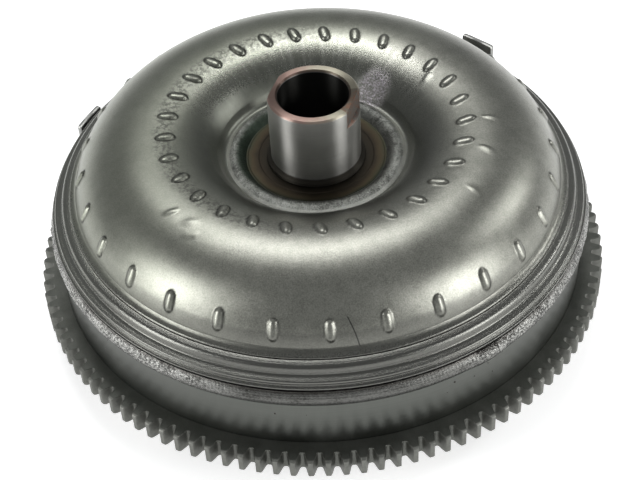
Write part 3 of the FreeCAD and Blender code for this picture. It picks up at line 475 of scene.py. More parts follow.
def pad_block():
    """Block round its hole, whose wall is a helical thread that rises a pitch in a turn."""
    lead = directions(192)
    outer = round_box(pad_half, pad_corner, lead)
    far = np.linalg.norm(outer, axis=1, keepdims=True)
    rows = [np.hstack([outer * (1 - drop / far), np.full_like(far, z)]) for drop, z in (
        (0.5, cover_face), (0.0, cover_face - 0.5),
        (0.0, pad_low + 0.6), (0.2, pad_low + 0.15), (0.6, pad_low))]
    depth = np.linspace(pad_low, cover_face, 57)
    turns = depth[None, :] / thread_pitch + circle(192)[:, None] / 360.0
    wall = thread_radius + thread_depth * np.abs(2 * (turns % 1) - 1)
    mouth = np.clip(1.0 - (depth - pad_low) / thread_mouth, 0.0, 1.0) * thread_mouth
    wall = np.maximum(wall, thread_radius + mouth[None, :])
    around = [wall * lead[:, :1], wall * lead[:, 1:], np.broadcast_to(depth, wall.shape)]
    hole = np.stack(around, axis=-1)
    block = np.concatenate([np.stack(rows, axis=1), hole], axis=1)
    return block + np.array([pad_circle, 0.0, 0.0])


pad_steel, shader, place = finish("milled_pad_steel")
arcs = place.node("TexWave", {"wave_type": "RINGS", "rings_direction": "Z"},
                  {"Vector": place, "Scale": 0.9, "Distortion": 0.6, "Detail": 2.0})
cloud = place.noise(0.15, 3.0)
fine = place.noise(3.0, 3.0)
skin(shader, (0.35 * arcs + 0.65 * cloud).mixed((0.26, 0.26, 0.25), (0.46, 0.45, 0.42)),
     0.28 + 0.2 * cloud + 0.1 * fine, arcs * 0.5 + fine * 0.5, 0.6, 0.05)
piece("mounting_pad_blocks", [placed(pad_block(), azimuth) for azimuth in pad_azimuths],
      ["mounting_pads"], pad_steel)


def straight_bead(side, length, leg, crown, pitch):
    """Fillet bead along Y on the pad's side: a crowned section carried along the length, its legs
    shrinking to a rounded end at both ends, with crescent ripples."""
    along = np.linspace(-1.0, 1.0, 70)[:, None]
    t = np.linspace(0.0, 1.0, 9)[None, :]
    size = leg * np.sqrt(np.maximum(1 - np.abs(along) ** 6, 0.02))
    height = (crown + 0.1 * ripples(along * length / 2, 2 * t - 1, pitch)) * np.sin(math.pi * t)
    out = size * (1 - t) * (1 + height / leg) + 0.15 * (t > 0.99)
    drop = size * t * (1 + height / leg)
    ones = np.ones_like(along)
    out = np.hstack([out, -0.4 * ones, -0.4 * ones])
    drop = np.hstack([drop, 0.5 * leg * ones, -0.3 * ones])
    y = np.broadcast_to(along * length / 2, out.shape)
    return np.stack([pad_circle + side * (pad_half[0] + out), y, cover_face - drop], axis=-1)


pad_beads = [placed(straight_bead(side, 22.0, 2.9, -0.25, 1.6), azimuth)
             for azimuth in pad_azimuths for side in (-1, 1)]
piece("mounting_pad_beads", pad_beads, ["mounting_pad_welds"], weld_metal, ring=False)

# ---- ring gear ----
# Induction hardened gear ring, shrunk on the cover wall. Scaled matte grey, with cut tooth flanks
# and chamfered tooth ends that shine where the starter pinion has touched them.

gear_low, gear_high = (np.array(corner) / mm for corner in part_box("ring_gear"))
gear_teeth, gear_module, gear_phase = 112, 2.54, -149.0
gear_tip = gear_module * (gear_teeth + 2) / 2
gear_root = gear_module * (gear_teeth - 2.5) / 2
gear_chamfer = 1.2
gear_seed = np.random.default_rng(3)


def gear_outline():
    """Angle in degrees and radius round the teeth. Half a tooth is a list of (share of the pitch,
    share of the depth), with a filleted root, a slightly bowed flank and a rounded tip."""
    depth = gear_tip - gear_root
    half = np.array([(0.50, 0.0), (0.43, 0.0), (0.385, 0.03), (0.345, 0.10), (0.315, 0.18),
                     (0.275, 0.38), (0.225, 0.60), (0.175, 0.82), (0.15, 0.93), (0.13, 0.985),
                     (0.10, 1.0), (0.0, 1.0)])
    tooth = np.vstack([half * [-1, 1], half[-2:0:-1]])
    share = (np.arange(gear_teeth)[:, None] + tooth[None, :, 0]).ravel()
    worn = 1 - 0.03 * gear_seed.random((gear_teeth, 1))
    radius = (gear_root + depth * tooth[None, :, 1] * worn).ravel()
    return gear_phase + share * 360.0 / gear_teeth, radius


def gear_ring():
    """The outline stacked along Z and cut to a blank's section: at each height the radius is the
    smaller of the tooth outline's and the chamfered blank's."""
    angle, radius = gear_outline()
    low, high = gear_low[2], gear_high[2]
    near, far = gear_tip - gear_chamfer, gear_tip - gear_chamfer * 0.4
    ends = [(near - 0.15, 0.0, 0.15), (near + 0.2, 0.12, 0.0), (far, 0.42, 0.0), (gear_tip, 0.8, 0.0)]
    rows = [(cover_radius + 0.5, low, 0.0), (gear_root - 1.5, low, 0.0)]
    rows += [(r, low + inwards, inset) for r, inwards, inset in ends]
    rows += [(gear_tip, (low + high) / 2, 0.0)]
    rows += [(r, high - inwards, inset) for r, inwards, inset in ends[::-1]]
    rows += [(gear_root - 1.5, high, 0.0), (cover_radius + 0.15, high, 0.0),
             (cover_radius + 0.02, high - 0.2, 0.0), (cover_radius, low + 0.5, 0.0)]
    limit, z, inset = np.array(rows).T
    r = np.minimum(radius[:, None] - inset, limit[None, :])
    return swept(r, np.radians(angle)[:, None], z)


gear_steel, shader, place = finish("scaled_gear_steel")
parts = axis_parts(place)
scale_cloud = place.noise(0.10, 4.0, 0.6)
scale_grain = place.noise(2.6, 4.0, 0.7)
tooth_zone = parts[0].rise(gear_root - 0.4, gear_root + 0.5)
end_zone = abs(parts[1] - (gear_low[2] + gear_high[2]) / 2).rise(5.1, 5.45)
chamfer_zone = parts[0].rise(gear_tip - 1.7, gear_tip - 0.9) * end_zone
rubbed = place.noise(0.5, 3.0).rise(0.25, 0.6)
bright = (tooth_zone * (1.0 - end_zone) * 0.35 + chamfer_zone * 0.75) * (0.5 + 0.5 * rubbed)
scaled = (scale_cloud * 0.6 + scale_grain * 0.5).rise(0.3, 0.8)
plain = scaled.mixed((0.082, 0.086, 0.076), (0.135, 0.139, 0.126))
skin(shader, bright.mixed(plain, (0.27, 0.27, 0.25)), 0.46 + 0.12 * scale_grain - 0.12 * bright,
     scale_grain + 0.3 * scale_cloud, 0.35, 0.05)
piece("ring_gear_toothed", [gear_ring()], ["ring_gear"], gear_steel, crease=28.0)

# ---- ring gear welds ----
# Six stitch beads in the corner under the gear that stop it turning on the cover.

stitch = arch((cover_radius - 3.2, gear_low[2] - 3.6), (cover_radius + 3.6, gear_low[2] - 0.1), 0.5, 12)
stitch[-2:, :2] = [(cover_radius + 0.4, gear_low[2] + 0.2), (cover_radius - 3.4, gear_low[2] - 2.4)]
stitch_count, stitch_turns = 6, np.linspace(0.2, 23.8, 180)
stitch_beads = []
for number in range(stitch_count):
    span = gear_phase + number * 360.0 / stitch_count + stitch_turns
    stitch_beads.append(turned(bead(stitch, span, cover_radius, 2.0, 0.14, 0.1), span))
piece("ring_gear_stitches", stitch_beads, ["ring_gear_welds"], weld_metal, ring=False)

# ---- impeller shell ----
# Half torus pressed from 3.2 mm steel, with a skirt that enters the cover. The vane tabs were
# rolled over behind it, which raised two rings of ovals, and the furnace left it satin grey.

torus_middle, torus_height = 80.6, 66.8
torus_wide, torus_tall = 40.8, 38.2
shell_sheet = 3.2
land_height = 86.0
flange_radius = 38.0
oval_count = 29
shell_seed = np.random.default_rng(12)


def oval_points(wide, tall, degrees):
    """Points of an ellipse about the torus's middle: (R + wide cos a, h + tall sin a)."""
    turn = np.radians(degrees)
    return np.stack([torus_middle + wide * np.cos(turn), torus_height + tall * np.sin(turn)], axis=-1)


def denser(start, end, count, centres, width, gain):
    """Numbers from start to end that crowd round the centres: even steps of the running total of
    1 + gain within width of a centre."""
    fine = np.linspace(start, end, 4000)
    near = np.abs(fine[:, None] - np.array(centres)[None, :]).min(axis=1)
    total = np.cumsum(1 + gain / (1 + (near / width) ** 8))
    return np.interp(np.linspace(total[0], total[-1], count), total, fine)


foot_angle, throat_angle = 14.24, 141.88
outer_oval_angle = math.degrees(math.acos(36.2 / torus_wide))
inner_oval_angle = math.degrees(math.acos(-8.0 / torus_wide))
top_angles = denser(foot_angle, throat_angle, 92, [outer_oval_angle, inner_oval_angle], 8.5, 2.2)
foot_height = 67.6
land_edge = cover_radius - 12.5
skirt_radius, skirt_low = 124.6, 52.0
skirt_fit = 128.45


def from_seam(*steps):
    """Corners (r, z, round) from steps (out from the cover's wall, up from the seam, round)."""
    return [(cover_radius + out, seam_height + up, cut) for out, up, cut in steps]


rim = rounded(from_seam(
    (0.0, 0.0, 0.3), (0.0, 4.6, 0.25), (-1.0, 5.0, 0.2), (-1.0, 5.6, 0.2), (0.2, 6.0, 0.2),
    (0.2, 6.8, 0.2), (-0.8, 7.05, 0.2), (-0.75, 8.3, 0.5), (-1.15, 8.5, 0.2), (-1.3, 9.6, 0.7),
    (-3.4, 10.1, 0.5), (-4.6, 10.6, 0.3), (-4.9, 11.4, 0.3), (-5.6, 14.5, 3.4), (-9.0, 15.3, 0.3),
    (-10.5, 15.2, 0.2)) + [
    (land_edge, foot_height, 0.2), (skirt_radius - 3.0, foot_height, 0.4),
    (skirt_radius, foot_height - 3.0, 0.4), (skirt_radius, skirt_low, 0.3),
    (skirt_fit, skirt_low, 0.3), (skirt_fit, seam_height, 0.2)], 5)
foot = rounded([(land_edge, foot_height, 0.1)] + from_seam(
    (-10.0, 15.3, 0.2), (-9.4, 15.35, 0.3), (-9.6, 16.4, 0.5), (-11.6, 17.2, 0.8),
    (-12.8, 18.4, 0.3), (-14.0, 22.0, 0.1)), 4)[4:-4]
under_land = land_height - shell_sheet
throat = rounded([
    (49.4, 91.5, 0.1), (48.4, 90.2, 0.8), (46.4, land_height + 1.0, 1.4), (45.0, land_height, 0.9),
    (flange_radius, land_height, 0.2), (flange_radius, under_land, 0.2),
    (47.1, under_land, 0.4), (49.0, land_height, 0.1),
], 3)[3:-3]
top_line = oval_points(torus_wide, torus_tall, top_angles)
under_line = oval_points(torus_wide - shell_sheet, torus_tall - shell_sheet,
                         np.linspace(151.0, 3.0, 20))
under_foot = [(118.0, foot_height), (land_edge, foot_height)]
dome_line = np.concatenate([foot, top_line, throat, under_line, under_foot])
first_top = len(foot)
is_outer = np.arange(len(dome_line)) < first_top + len(top_line) + 9
step_lengths = np.linalg.norm(np.diff(dome_line, axis=0), axis=1)
run = np.concatenate([[0.0], np.cumsum(step_lengths)])
top_run = run[first_top:first_top + len(top_line)]
pitch = 360.0 / oval_count
outer_start, inner_start = -151.3, 183.1
oval_phase = outer_start % pitch
columns = denser(-pitch / 2, pitch / 2, 23, [0.0], 2.6, 2.0)[:-1]
shell_turns = (oval_phase + np.arange(oval_count)[:, None] * pitch + columns[None, :]).ravel()


def off_from(turns, azimuth):
    """Degrees from an azimuth, between -180 and 180."""
    return (turns - azimuth + 180.0) % 360.0 - 180.0


def run_at(degrees):
    """Length along the dome's outline from its foot to the place at that angle of the torus."""
    return np.interp(degrees, top_angles, top_run)


def line_normals(outline):
    """Unit normals of a closed outline that runs anticlockwise in (r, z), away from its inside."""
    ahead = np.roll(outline, -1, axis=0) - np.roll(outline, 1, axis=0)
    normal = np.stack([ahead[:, 1], -ahead[:, 0]], axis=-1)
    return normal / np.maximum(np.linalg.norm(normal, axis=1, keepdims=True), 1e-9)


def oval(along, aside, length, skew, round_radius, proud, soft):
    """Height of a round-ended rod of that length lying in the surface, turned by skew and sunk until
    it stands proud by 'proud', with its foot softened, and a line from 0 to 1 along that foot."""
    turn = math.radians(skew)
    lengthwise = along * math.cos(turn) + aside * math.sin(turn)
    sideways = aside * math.cos(turn) - along * math.sin(turn)
    sideways = sideways * (1 + 0.35 * np.minimum((lengthwise / length) ** 2, 1.0))
    away = np.hypot(sideways, np.maximum(np.abs(lengthwise) - length / 2, 0.0))
    height = np.sqrt(np.maximum(round_radius ** 2 - away ** 2, 0.0)) - (round_radius - proud)
    reach = away - math.sqrt(round_radius ** 2 - (round_radius - proud) ** 2)
    return np.stack([soft * np.logaddexp(0.0, height / soft), np.exp(-((reach - 0.1) / 0.42) ** 2)])


def oval_ring(start, centre, length, skew, proud):
    """Ring of ovals over the vane tabs, each a little off its place and size."""
    number = np.round((shell_turns - start) / pitch).astype(int) % oval_count
    off = (shell_turns - start + pitch / 2) % pitch - pitch / 2
    slip, slide, grow = shell_seed.uniform(-1.0, 1.0, (3, oval_count))
    aside = np.radians(off)[:, None] * dome_line[None, :, 0] - 0.25 * slip[number][:, None]
    along = (run - centre)[None, :] - 0.35 * slide[number][:, None]
    return oval(along, aside, length, skew, 3.2, proud, 0.05) * (1 + 0.10 * grow[number])[:, None]


rise, foot_line = (oval_ring(outer_start, run_at(outer_oval_angle), 6.0, 0.0, 1.15)
                   + oval_ring(inner_start, run_at(inner_oval_angle), 4.8, -17.0, 1.25))
for radius, azimuth, skew, length, proud in (
        (88.3, -140.1, 30, 4.0, 0.50), (87.1, -132.5, 55, 4.5, 0.45), (92.5, -129.5, 60, 5.0, 0.35),
        (85.1, -2.4, 10, 4.0, 0.45), (84.4, -18.0, 20, 4.0, 0.45), (89.3, -37.0, 5, 4.0, 0.40),
        (66.3, 29.7, -20, 4.5, 0.45)):
    centre = run_at(math.degrees(math.acos((radius - torus_middle) / torus_wide)))
    aside = np.radians(off_from(shell_turns, azimuth))[:, None] * radius
    rise = rise + oval((run - centre)[None, :], aside, length, skew, 2.6, proud, 0.06)[0]
turn_grid = np.radians(shell_turns)[:, None]
fold_azimuth, fold_radius, fold_height = -163.0, 52.4, 0.42
fold = np.exp(-((dome_line[:, 0] - fold_radius) / 0.7) ** 2) * (dome_line[:, 1] > land_height + 0.5)
fold_off = off_from(shell_turns, fold_azimuth)[:, None]
rise = rise + fold_height * fold[None, :] / (1 + (fold_off / 22.0) ** 6)
sheet_waves = sum(size * np.sin(crests * turn_grid + run[None, :] / length + lag)
                  for crests, length, size, lag in [(3, 31.0, 0.05, 0.4), (5, 17.0, 0.04, 2.1),
                                                    (11, 13.0, 0.02, 4.0), (2, 9.0, 0.03, 1.0)])
upper_part = np.clip((dome_line[None, :, 1] - 76.0) / 8.0, 0.0, 1.0)
rise = (rise + sheet_waves * upper_part) * is_outer[None, :]
dome = turned(dome_line[None] + rise[..., None] * line_normals(dome_line)[None], shell_turns)

shell_steel, shader, place = finish("satin_shell_steel")
radius, height, cosine, sine = parts = axis_parts(place)
grain = place.noise(1.5, 3.0, 0.8)
cloud = place.noise(0.035, 4.0, 0.6)
blotch = place.noise(0.16, 4.0, 0.65)
foot_shade = place.node("Attribute", {"attribute_name": "foot_line"}, None, "Fac")
radial = streaks(parts, 26.0, 0.03, 0.0, 4.0)
turn_lines = streaks(parts, 0.6, 0.0, 5.0)
front = sine * -1.0
olive = (0.5 - 0.45 * cosine + 0.30 * sine + 0.5 * (cloud - 0.5)).rise(0.25, 1.0)
left_side = (0.15 - cosine + 0.15 * sine + 0.6 * (blotch - 0.5)).rise(-0.15, 0.75)
tab_band = abs(radius - 73.5).rise(7.5, 2.0) * height.rise(90.0, 96.0)
scorch = tab_band * left_side * place.noise(0.45, 4.0, 0.7).rise(0.42, 0.60)
# Painted shade: the steel is darkened towards the throat, in the hollow of the torus.
throat_painted_shade = radius.rise(70.0, 55.0)
brushed = abs(radius - 63.0).rise(13.0, 5.0) * sine.rise(0.1, 0.7)
spot_x, spot_y = cosine * radius - 31.0, sine * radius - 39.5
spatter_zone = (spot_x * spot_x + spot_y * spot_y).math("SQRT").rise(11.0, 5.0)
spatter = spatter_zone * place.noise(1.1, 3.0, 0.7).rise(0.42, 0.60)
skirt = height.rise(76.0, 73.0)
specks = place.noise(0.9, 2.0, 0.6).rise(0.70, 0.76) * height.rise(78.0, 72.0)
# Painted shade: the dome's lower shoulder is darkened, on the front side only.
front_shoulder_painted_shade = (height + 1.6 * blotch).rise(85.5, 83.0) * front.rise(0.35, 0.95)
scratch_line = abs(cosine * radius - 11.6 - 0.75 * (radius - 117.0)).rise(0.45, 0.15)
scratch = scratch_line * abs(radius - 117.0).rise(3.4, 3.0) * front.rise(0.5, 0.6)
# Painted shade: an irregular near-black line in the rim's groove just above the seam weld.
groove_painted_shade = abs(height - 63.2).rise(1.5, 0.6) * place.noise(0.5, 4.0, 0.7).rise(0.34, 0.52)
satin = (0.25 * cloud + 0.25 * blotch + 0.75 * grain).rise(0.36, 0.88)
base = layered(satin.mixed((0.145, 0.146, 0.128), (0.33, 0.333, 0.295)),
               (olive * 0.45, (0.245, 0.264, 0.207)),
               (scorch * 0.7, (0.055, 0.055, 0.05)),
               (throat_painted_shade * (0.40 + 0.5 * blotch), (0.080, 0.083, 0.074)),
               (brushed * radial.rise(0.40, 0.70) * 0.35, (0.34, 0.34, 0.31)),
               (spatter * 0.8, (0.36, 0.33, 0.36)),
               (skirt * 0.6, (0.15, 0.15, 0.142)),
               (skirt * turn_lines.rise(0.5, 0.7) * 0.5, (0.26, 0.26, 0.25)),
               (specks * 0.8, (0.03, 0.03, 0.03)),
               (front_shoulder_painted_shade * 0.5, (0.075, 0.075, 0.07)),
               (scratch * 0.8, (0.03, 0.03, 0.03)),
               (groove_painted_shade * 0.85, (0.012, 0.011, 0.010)),
               (foot_shade * (0.68 + 0.3 * left_side), (0.03, 0.03, 0.027)))
gloss = 0.21 + 0.08 * cloud + 0.13 * grain + 0.12 * scorch - 0.08 * skirt - 0.06 * brushed
relief = grain * 1.2 + blotch * 0.5 + radial * brushed * 0.8 + turn_lines * skirt * 0.8 + spatter * 1.5
skin(shader, base, gloss, relief, 0.7, 0.10)
pressed = piece("impeller_shell_dome", [dome], ["impeller_shell"],
                shell_steel, crease=50.0)
foot_values = pressed.data.attributes.new("foot_line", "FLOAT", "POINT")
foot_values.data.foreach_set("value", foot_line.ravel())
piece("impeller_shell_rim", [turned(spaced(rim, 2.5), circle(480))], ["impeller_shell"],
      shell_steel, crease=40.0)

# ---- pump drive hub ----
# Hardened tube that drives the gearbox pump: turned, ground outside for the seal and bush, with two
# milled flats at its end. Welding heat has left its end face copper and straw coloured.

hub_low, hub_high = (np.array(corner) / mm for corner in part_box("impeller_hub"))
hub_radius, hub_bore, hub_foot = 22.2, 17.3, 24.2
hub_end = hub_high[2]
flat_depth, flat_height, flat_azimuth = 2.2, 10.0, -21.0
collar_height = 86.3
hub_line = spaced(rounded([
    (hub_bore, hub_low[2], 0.2), (hub_foot, hub_low[2], 0.2), (hub_foot, collar_height, 0.25),
    (hub_radius + 0.1, collar_height + 0.6, 0.2), (hub_radius, collar_height + 1.2, 0.3),
    (hub_radius, hub_end - flat_height, 0.12), (hub_radius, hub_end - flat_height + 0.25, 0.12),
    (hub_radius, hub_end - 0.9, 0.15), (hub_radius - 0.9, hub_end, 0.2),
    (hub_bore + 0.9, hub_end, 0.2), (hub_bore, hub_end - 0.9, 0.15),
], 4), 3.0)
flat_edge = math.degrees(math.acos(1 - flat_depth / hub_radius))
flat_edges = [flat_azimuth + half_turn + side * flat_edge for half_turn in (0, 180) for side in (-1, 1)]
hub_turns = denser(-90.0, 270.0, 289, flat_edges, 1.0, 6.0)[:-1]


def flats(outline, angles):
    """The turned outline cut by two flats near its end: there the radius is at most the flat's
    distance over the cosine of the angle from the flat's middle."""
    off = (angles - flat_azimuth + 90.0) % 180.0 - 90.0
    limit = (hub_radius - flat_depth) / np.cos(np.radians(off))
    r, z = outline[None, :, 0], outline[None, :, 1]
    above = np.clip((z - (hub_end - flat_height)) / 0.25, 0.0, 1.0)
    cut = r + (np.minimum(r, limit[:, None]) - r) * above
    return np.stack(np.broadcast_arrays(np.where(r > hub_bore + 1.0, cut, r), z), axis=-1)


hub_steel, shader, place = finish("ground_hub_steel", anisotropic=0.95, anisotropic_rotation=0.25)
radius, height, cosine, sine = parts = axis_parts(place)
ground = streaks(parts, 0.15, 9.0, 9.0, 2.0)
fine_ground = streaks(parts, 0.4, 22.0, 22.0, 1.0)
cloud = place.noise(0.10, 3.0)
end_zone = height.rise(hub_end - 1.3, hub_end - 0.5) * radius.rise(hub_bore - 0.2, hub_bore + 0.3)
copper = (0.25 - cosine - 0.15 * sine + 0.8 * (place.noise(0.25, 3.0) - 0.5)).rise(-0.2, 0.7)
towards_flat = cosine * 0.934 - sine * 0.358
flat_zone = height.rise(hub_end - 10.2, hub_end - 9.8) * towards_flat.rise(0.895, 0.91)
rust = flat_zone * place.noise(0.5, 3.0, 0.6).rise(0.40, 0.65)
lip_zone = height.rise(hub_end - 1.1, hub_end - 0.8) * radius.rise(hub_bore + 1.0, hub_bore + 0.7)
# Painted shade: near-black round the tube's foot, in the corner where it meets the flange; it is also
# rougher there.
collar_foot_painted_shade = height.rise(collar_height + 1.9, collar_height + 0.7)
# Painted shade: the inside of the bore, below its mouth, is painted near-black and made rougher.
bore_painted_shade = radius.rise(hub_bore + 0.35, hub_bore + 0.1) * height.rise(hub_end - 0.6, hub_end - 1.6)
base = layered((0.6 * ground + 0.4 * cloud).mixed((0.20, 0.198, 0.188), (0.47, 0.465, 0.44)),
               (end_zone * 0.75, copper.mixed((0.30, 0.275, 0.20), (0.24, 0.135, 0.105))),
               (flat_zone * 0.65, (0.12, 0.10, 0.085)),
               (rust * 0.6, (0.27, 0.12, 0.07)),
               (lip_zone * 0.8, (0.05, 0.035, 0.028)),
               (collar_foot_painted_shade * 0.95, (0.030, 0.026, 0.020)),
               (bore_painted_shade * 0.97, (0.010, 0.010, 0.009)))
skin(shader, base, 0.34 + 0.06 * cloud + 0.1 * flat_zone + 0.1 * bore_painted_shade + 0.2 * collar_foot_painted_shade,
     ground * 0.5 + fine_ground * 0.5, 1.0, 0.025)
piece("pump_drive_tube", [turned(flats(hub_line, hub_turns), hub_turns)], ["impeller_hub"],
      hub_steel, crease=28.0)

# ---- hub flange ----
# Flat flange on the tube's foot, turned in rings; the welding has burnt it brown, straw and blue.

flange_low, flange_high = (np.array(corner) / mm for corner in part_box("hub_flange"))
flange_end = flange_high[2]
flange_line = rounded([
    (hub_foot, flange_low[2], 0.2), (flange_radius, flange_low[2], 0.3),
    (flange_radius, flange_end, 0.2), (34.0, flange_end, 0.3), (33.6, flange_end - 0.25, 0.3),
    (28.6, flange_end - 0.25, 0.3), (28.2, flange_end, 0.3), (hub_foot, flange_end, 0.2),
], 4)
burnt_steel, shader, place = finish("heat_burnt_steel")
radius, height, cosine, sine = parts = axis_parts(place)
cloud = place.noise(0.09, 4.0, 0.6)
band = (radius - 24.0) / 14.0 + 0.45 * (cloud - 0.5)
heat_tints = [(0.0, (0.020, 0.018, 0.014)), (0.35, (0.028, 0.023, 0.017)),
              (0.55, (0.050, 0.040, 0.026)), (0.72, (0.042, 0.042, 0.028)),
              (0.86, (0.030, 0.040, 0.036)), (1.0, (0.055, 0.046, 0.032))]
rings = streaks(parts, 0.6, 4.0, 1.0)
skin(shader, band.node("ValToRGB", {"stops": heat_tints}, {0: band}),
     0.33 + 0.2 * cloud + 0.1 * rings, rings + 0.5 * cloud, 0.6, 0.05)
piece("hub_flange_plate", [turned(spaced(flange_line, 1.5), circle(200))], ["hub_flange"],
      burnt_steel)

# ---- hub weld ----
# Wide bead that joins the flange to the shell, laid in one turn, with its start and stop at the lower
# left, bright on its crest and green to blue where the heat ran into it, and a painted highlight along
# its outer edge.

hub_weld_outer, hub_weld_inner, hub_weld_middle = 44.4, 34.6, 40.0
hub_weld_start = -145.0
hub_bead_line = arch((hub_weld_outer, land_height), (hub_weld_inner, flange_end), 2.6, 18, 0.6)
bead_turns = np.linspace(hub_weld_start, hub_weld_start + 360.0, 1101)[:-1]
weld_seed = np.random.default_rng(21)
hub_bead = bead(hub_bead_line, bead_turns, hub_weld_middle, 1.15, 0.13, 0.20)
overlap = np.exp(-(off_from(bead_turns, hub_weld_start + 2.0) / 5.0) ** 2)[:, None]
hub_bead[..., 1] += 0.45 * overlap * hub_bead_line[None, :, 2]

hub_weld_metal, shader, place = finish("hub_weld_metal")
radius, height, cosine, sine = parts = axis_parts(place)
fine = place.noise(1.6, 4.0, 0.7)
patch = place.noise(0.13, 3.0, 0.6)
metal = (fine * 0.8 + patch * 0.5).rise(0.40, 0.85)
green_side = (-0.2 - cosine + 0.2 * sine + 0.5 * (patch - 0.5)).rise(-0.1, 0.8)
inner_side = radius.rise(hub_weld_middle + 1.5, hub_weld_middle - 3.0)
# Painted highlight: a pale line along the bead's outer edge.
outer_edge_highlight = abs(radius - (hub_weld_outer - 0.8)).rise(1.2, 0.4)
base = layered(metal.mixed((0.038, 0.038, 0.034), (0.38, 0.39, 0.36)),
               (inner_side * 0.6, (0.045, 0.045, 0.04)),
               (green_side * inner_side * 0.85, (0.028, 0.045, 0.030)),
               (outer_edge_highlight * 0.5, (0.60, 0.60, 0.55)))
skin(shader, base, 0.22 + 0.28 * fine + 0.1 * inner_side,
     fine + 0.6 * place.noise(0.8, 3.0, 0.7), 1.0, 0.25)
piece("hub_weld_bead", [turned(hub_bead, bead_turns)], ["hub_weld"], hub_weld_metal)

# ---- seam weld ----
# The bead that closes the housing. It starts and stops in one fat overlap at the right front, and
# has thrown spatter on the steel around it.

seam_line = arch((cover_radius, seam_height - 5.0), (cover_radius, seam_height + 4.6), 2.0, 22, 0.6)
seam_start, calm_azimuth = -60.0, -92.0
seam_turns = np.linspace(seam_start, seam_start + 360.0, 2001)[:-1]
weld_seed = np.random.default_rng(5)
rough_share = 0.45 + 0.55 * (np.cos(np.radians(seam_turns - calm_azimuth)) < 0.86)
seam_bead = bead(seam_line, seam_turns, cover_radius, 1.7, 0.17, 0.22 * rough_share[:, None])
blob = np.exp(-np.abs(off_from(seam_turns, seam_start + 2.4) / 3.6) ** 3)[:, None]
seam_bead[..., 0] += 1.2 * blob * seam_line[None, :, 2]
seam_bead[..., 1] += 1.3 * blob * np.sin(math.pi * np.linspace(0, 1, len(seam_line)))[None, :] ** 2
seam_metal, shader, place = finish("seam_weld_metal")
radius, height, cosine, sine = parts = axis_parts(place)
fine = place.noise(2.0, 4.0, 0.7)
patch = place.noise(0.14, 3.0, 0.6)
# The front of the bead is smoother, with laid lines, and its colour is also darkened there as painted
# shade.
front_laid_and_shade = (cosine * 0.05 - sine).rise(0.80, 0.97)
laid_lines = streaks(parts, 0.7, 0.0, 3.2)
coarse = place.noise(0.9, 4.0, 0.75)
laid = laid_lines * front_laid_and_shade
metal = (coarse * (0.9 - 0.4 * front_laid_and_shade) + laid * 0.5 + patch * 0.3).rise(0.46, 0.74)
# Painted shade: dark lines along the bead's lower and upper edges, where it meets the wall and the rim.
toe_painted_shade = height.rise(seam_height - 3.6, seam_height - 4.7)
head_painted_shade = height.rise(seam_height + 3.2, seam_height + 4.3)
# Painted shade: the bead's colour is darkened on its front side.
base = (metal * (1.0 - 0.72 * front_laid_and_shade)).mixed((0.022, 0.022, 0.020), (0.40, 0.40, 0.38))
skin(shader, (toe_painted_shade * 0.75 + head_painted_shade * 0.55).mixed(base, (0.05, 0.045, 0.04)),
     0.12 + 0.18 * fine, coarse * (1.6 - 1.35 * front_laid_and_shade) + fine * 0.3 + laid * 0.6, 1.0, 0.30)
piece("seam_weld_bead", [turned(seam_bead, seam_turns)], ["seam_weld"], seam_metal)


def droplet(azimuth, height, radius, size):
    """Ball of spatter squashed to 0.6 of its size against a steep wall."""
    polar = np.linspace(0.0, math.pi, 7)[None, :]
    ball = swept(np.sin(polar), np.radians(circle(10))[:, None], 0.6 * np.cos(polar))
    return placed(ball[..., [2, 0, 1]] * size + [radius, 0.0, height], azimuth)


spatter_seed = np.random.default_rng(17)
spatter = [droplet(azimuth, height, radius, size) for azimuth, height, radius, size in (
    (-65.0, 49.0, 133.0, 0.55), (-84.0, 65.3, 132.3, 0.6), (-101.0, 46.5, 133.0, 0.5),
    (-123.0, 65.6, 132.3, 0.55), (-57.0, 50.4, 133.0, 0.45))]
for azimuth, height, size in zip(spatter_seed.uniform(0, 360, 26), spatter_seed.uniform(36, 52, 26),
                                 spatter_seed.uniform(0.2, 0.4, 26)):
    spatter.append(droplet(azimuth, height, cover_radius, size))
piece("weld_spatter", spatter, ["seam_weld"], seam_metal, loop=False)

# ---- balance weights ----
# Two plates bent to the wall's curve and welded along their foot after the converter was spun.

weight_thickness, weight_wide, weight_tall = 2.3, 19.0, 25.0
weight_gap, weight_corner = 2.35, 0.9


def balance_plate(azimuth, top):
    """Plate rolled to the wall: a rectangle with round corners in (arc, height), swept through its
    thickness from the wall outwards, with worn edges. Layers are (depth, share, inset)."""
    half = np.array([weight_wide, weight_tall]) / 2
    outline = round_box(half, weight_corner, directions(120))
    far = np.linalg.norm(outline, axis=1, keepdims=True)
    rows = []
    for deep, share, inset in (
            (0.0, 0.0, 0.0), (0.0, 0.4, 0.0), (0.0, 0.9, 0.0), (0.0, 1.0, 0.25), (0.15, 1.0, 0.0),
            (0.5, 1.0, 0.0), (0.85, 1.0, 0.0), (1.0, 1.0, 0.25), (1.0, 0.9, 0.0), (1.0, 0.4, 0.0),
            (1.0, 0.0, 0.0)):
        flat = outline * (share - inset / far)
        turn = np.radians(azimuth) + flat[:, 0] / cover_radius
        r = cover_radius + weight_gap + deep * weight_thickness
        rows.append(swept(r, turn, top - half[1] + flat[:, 1]))
    return np.stack(rows, axis=1)


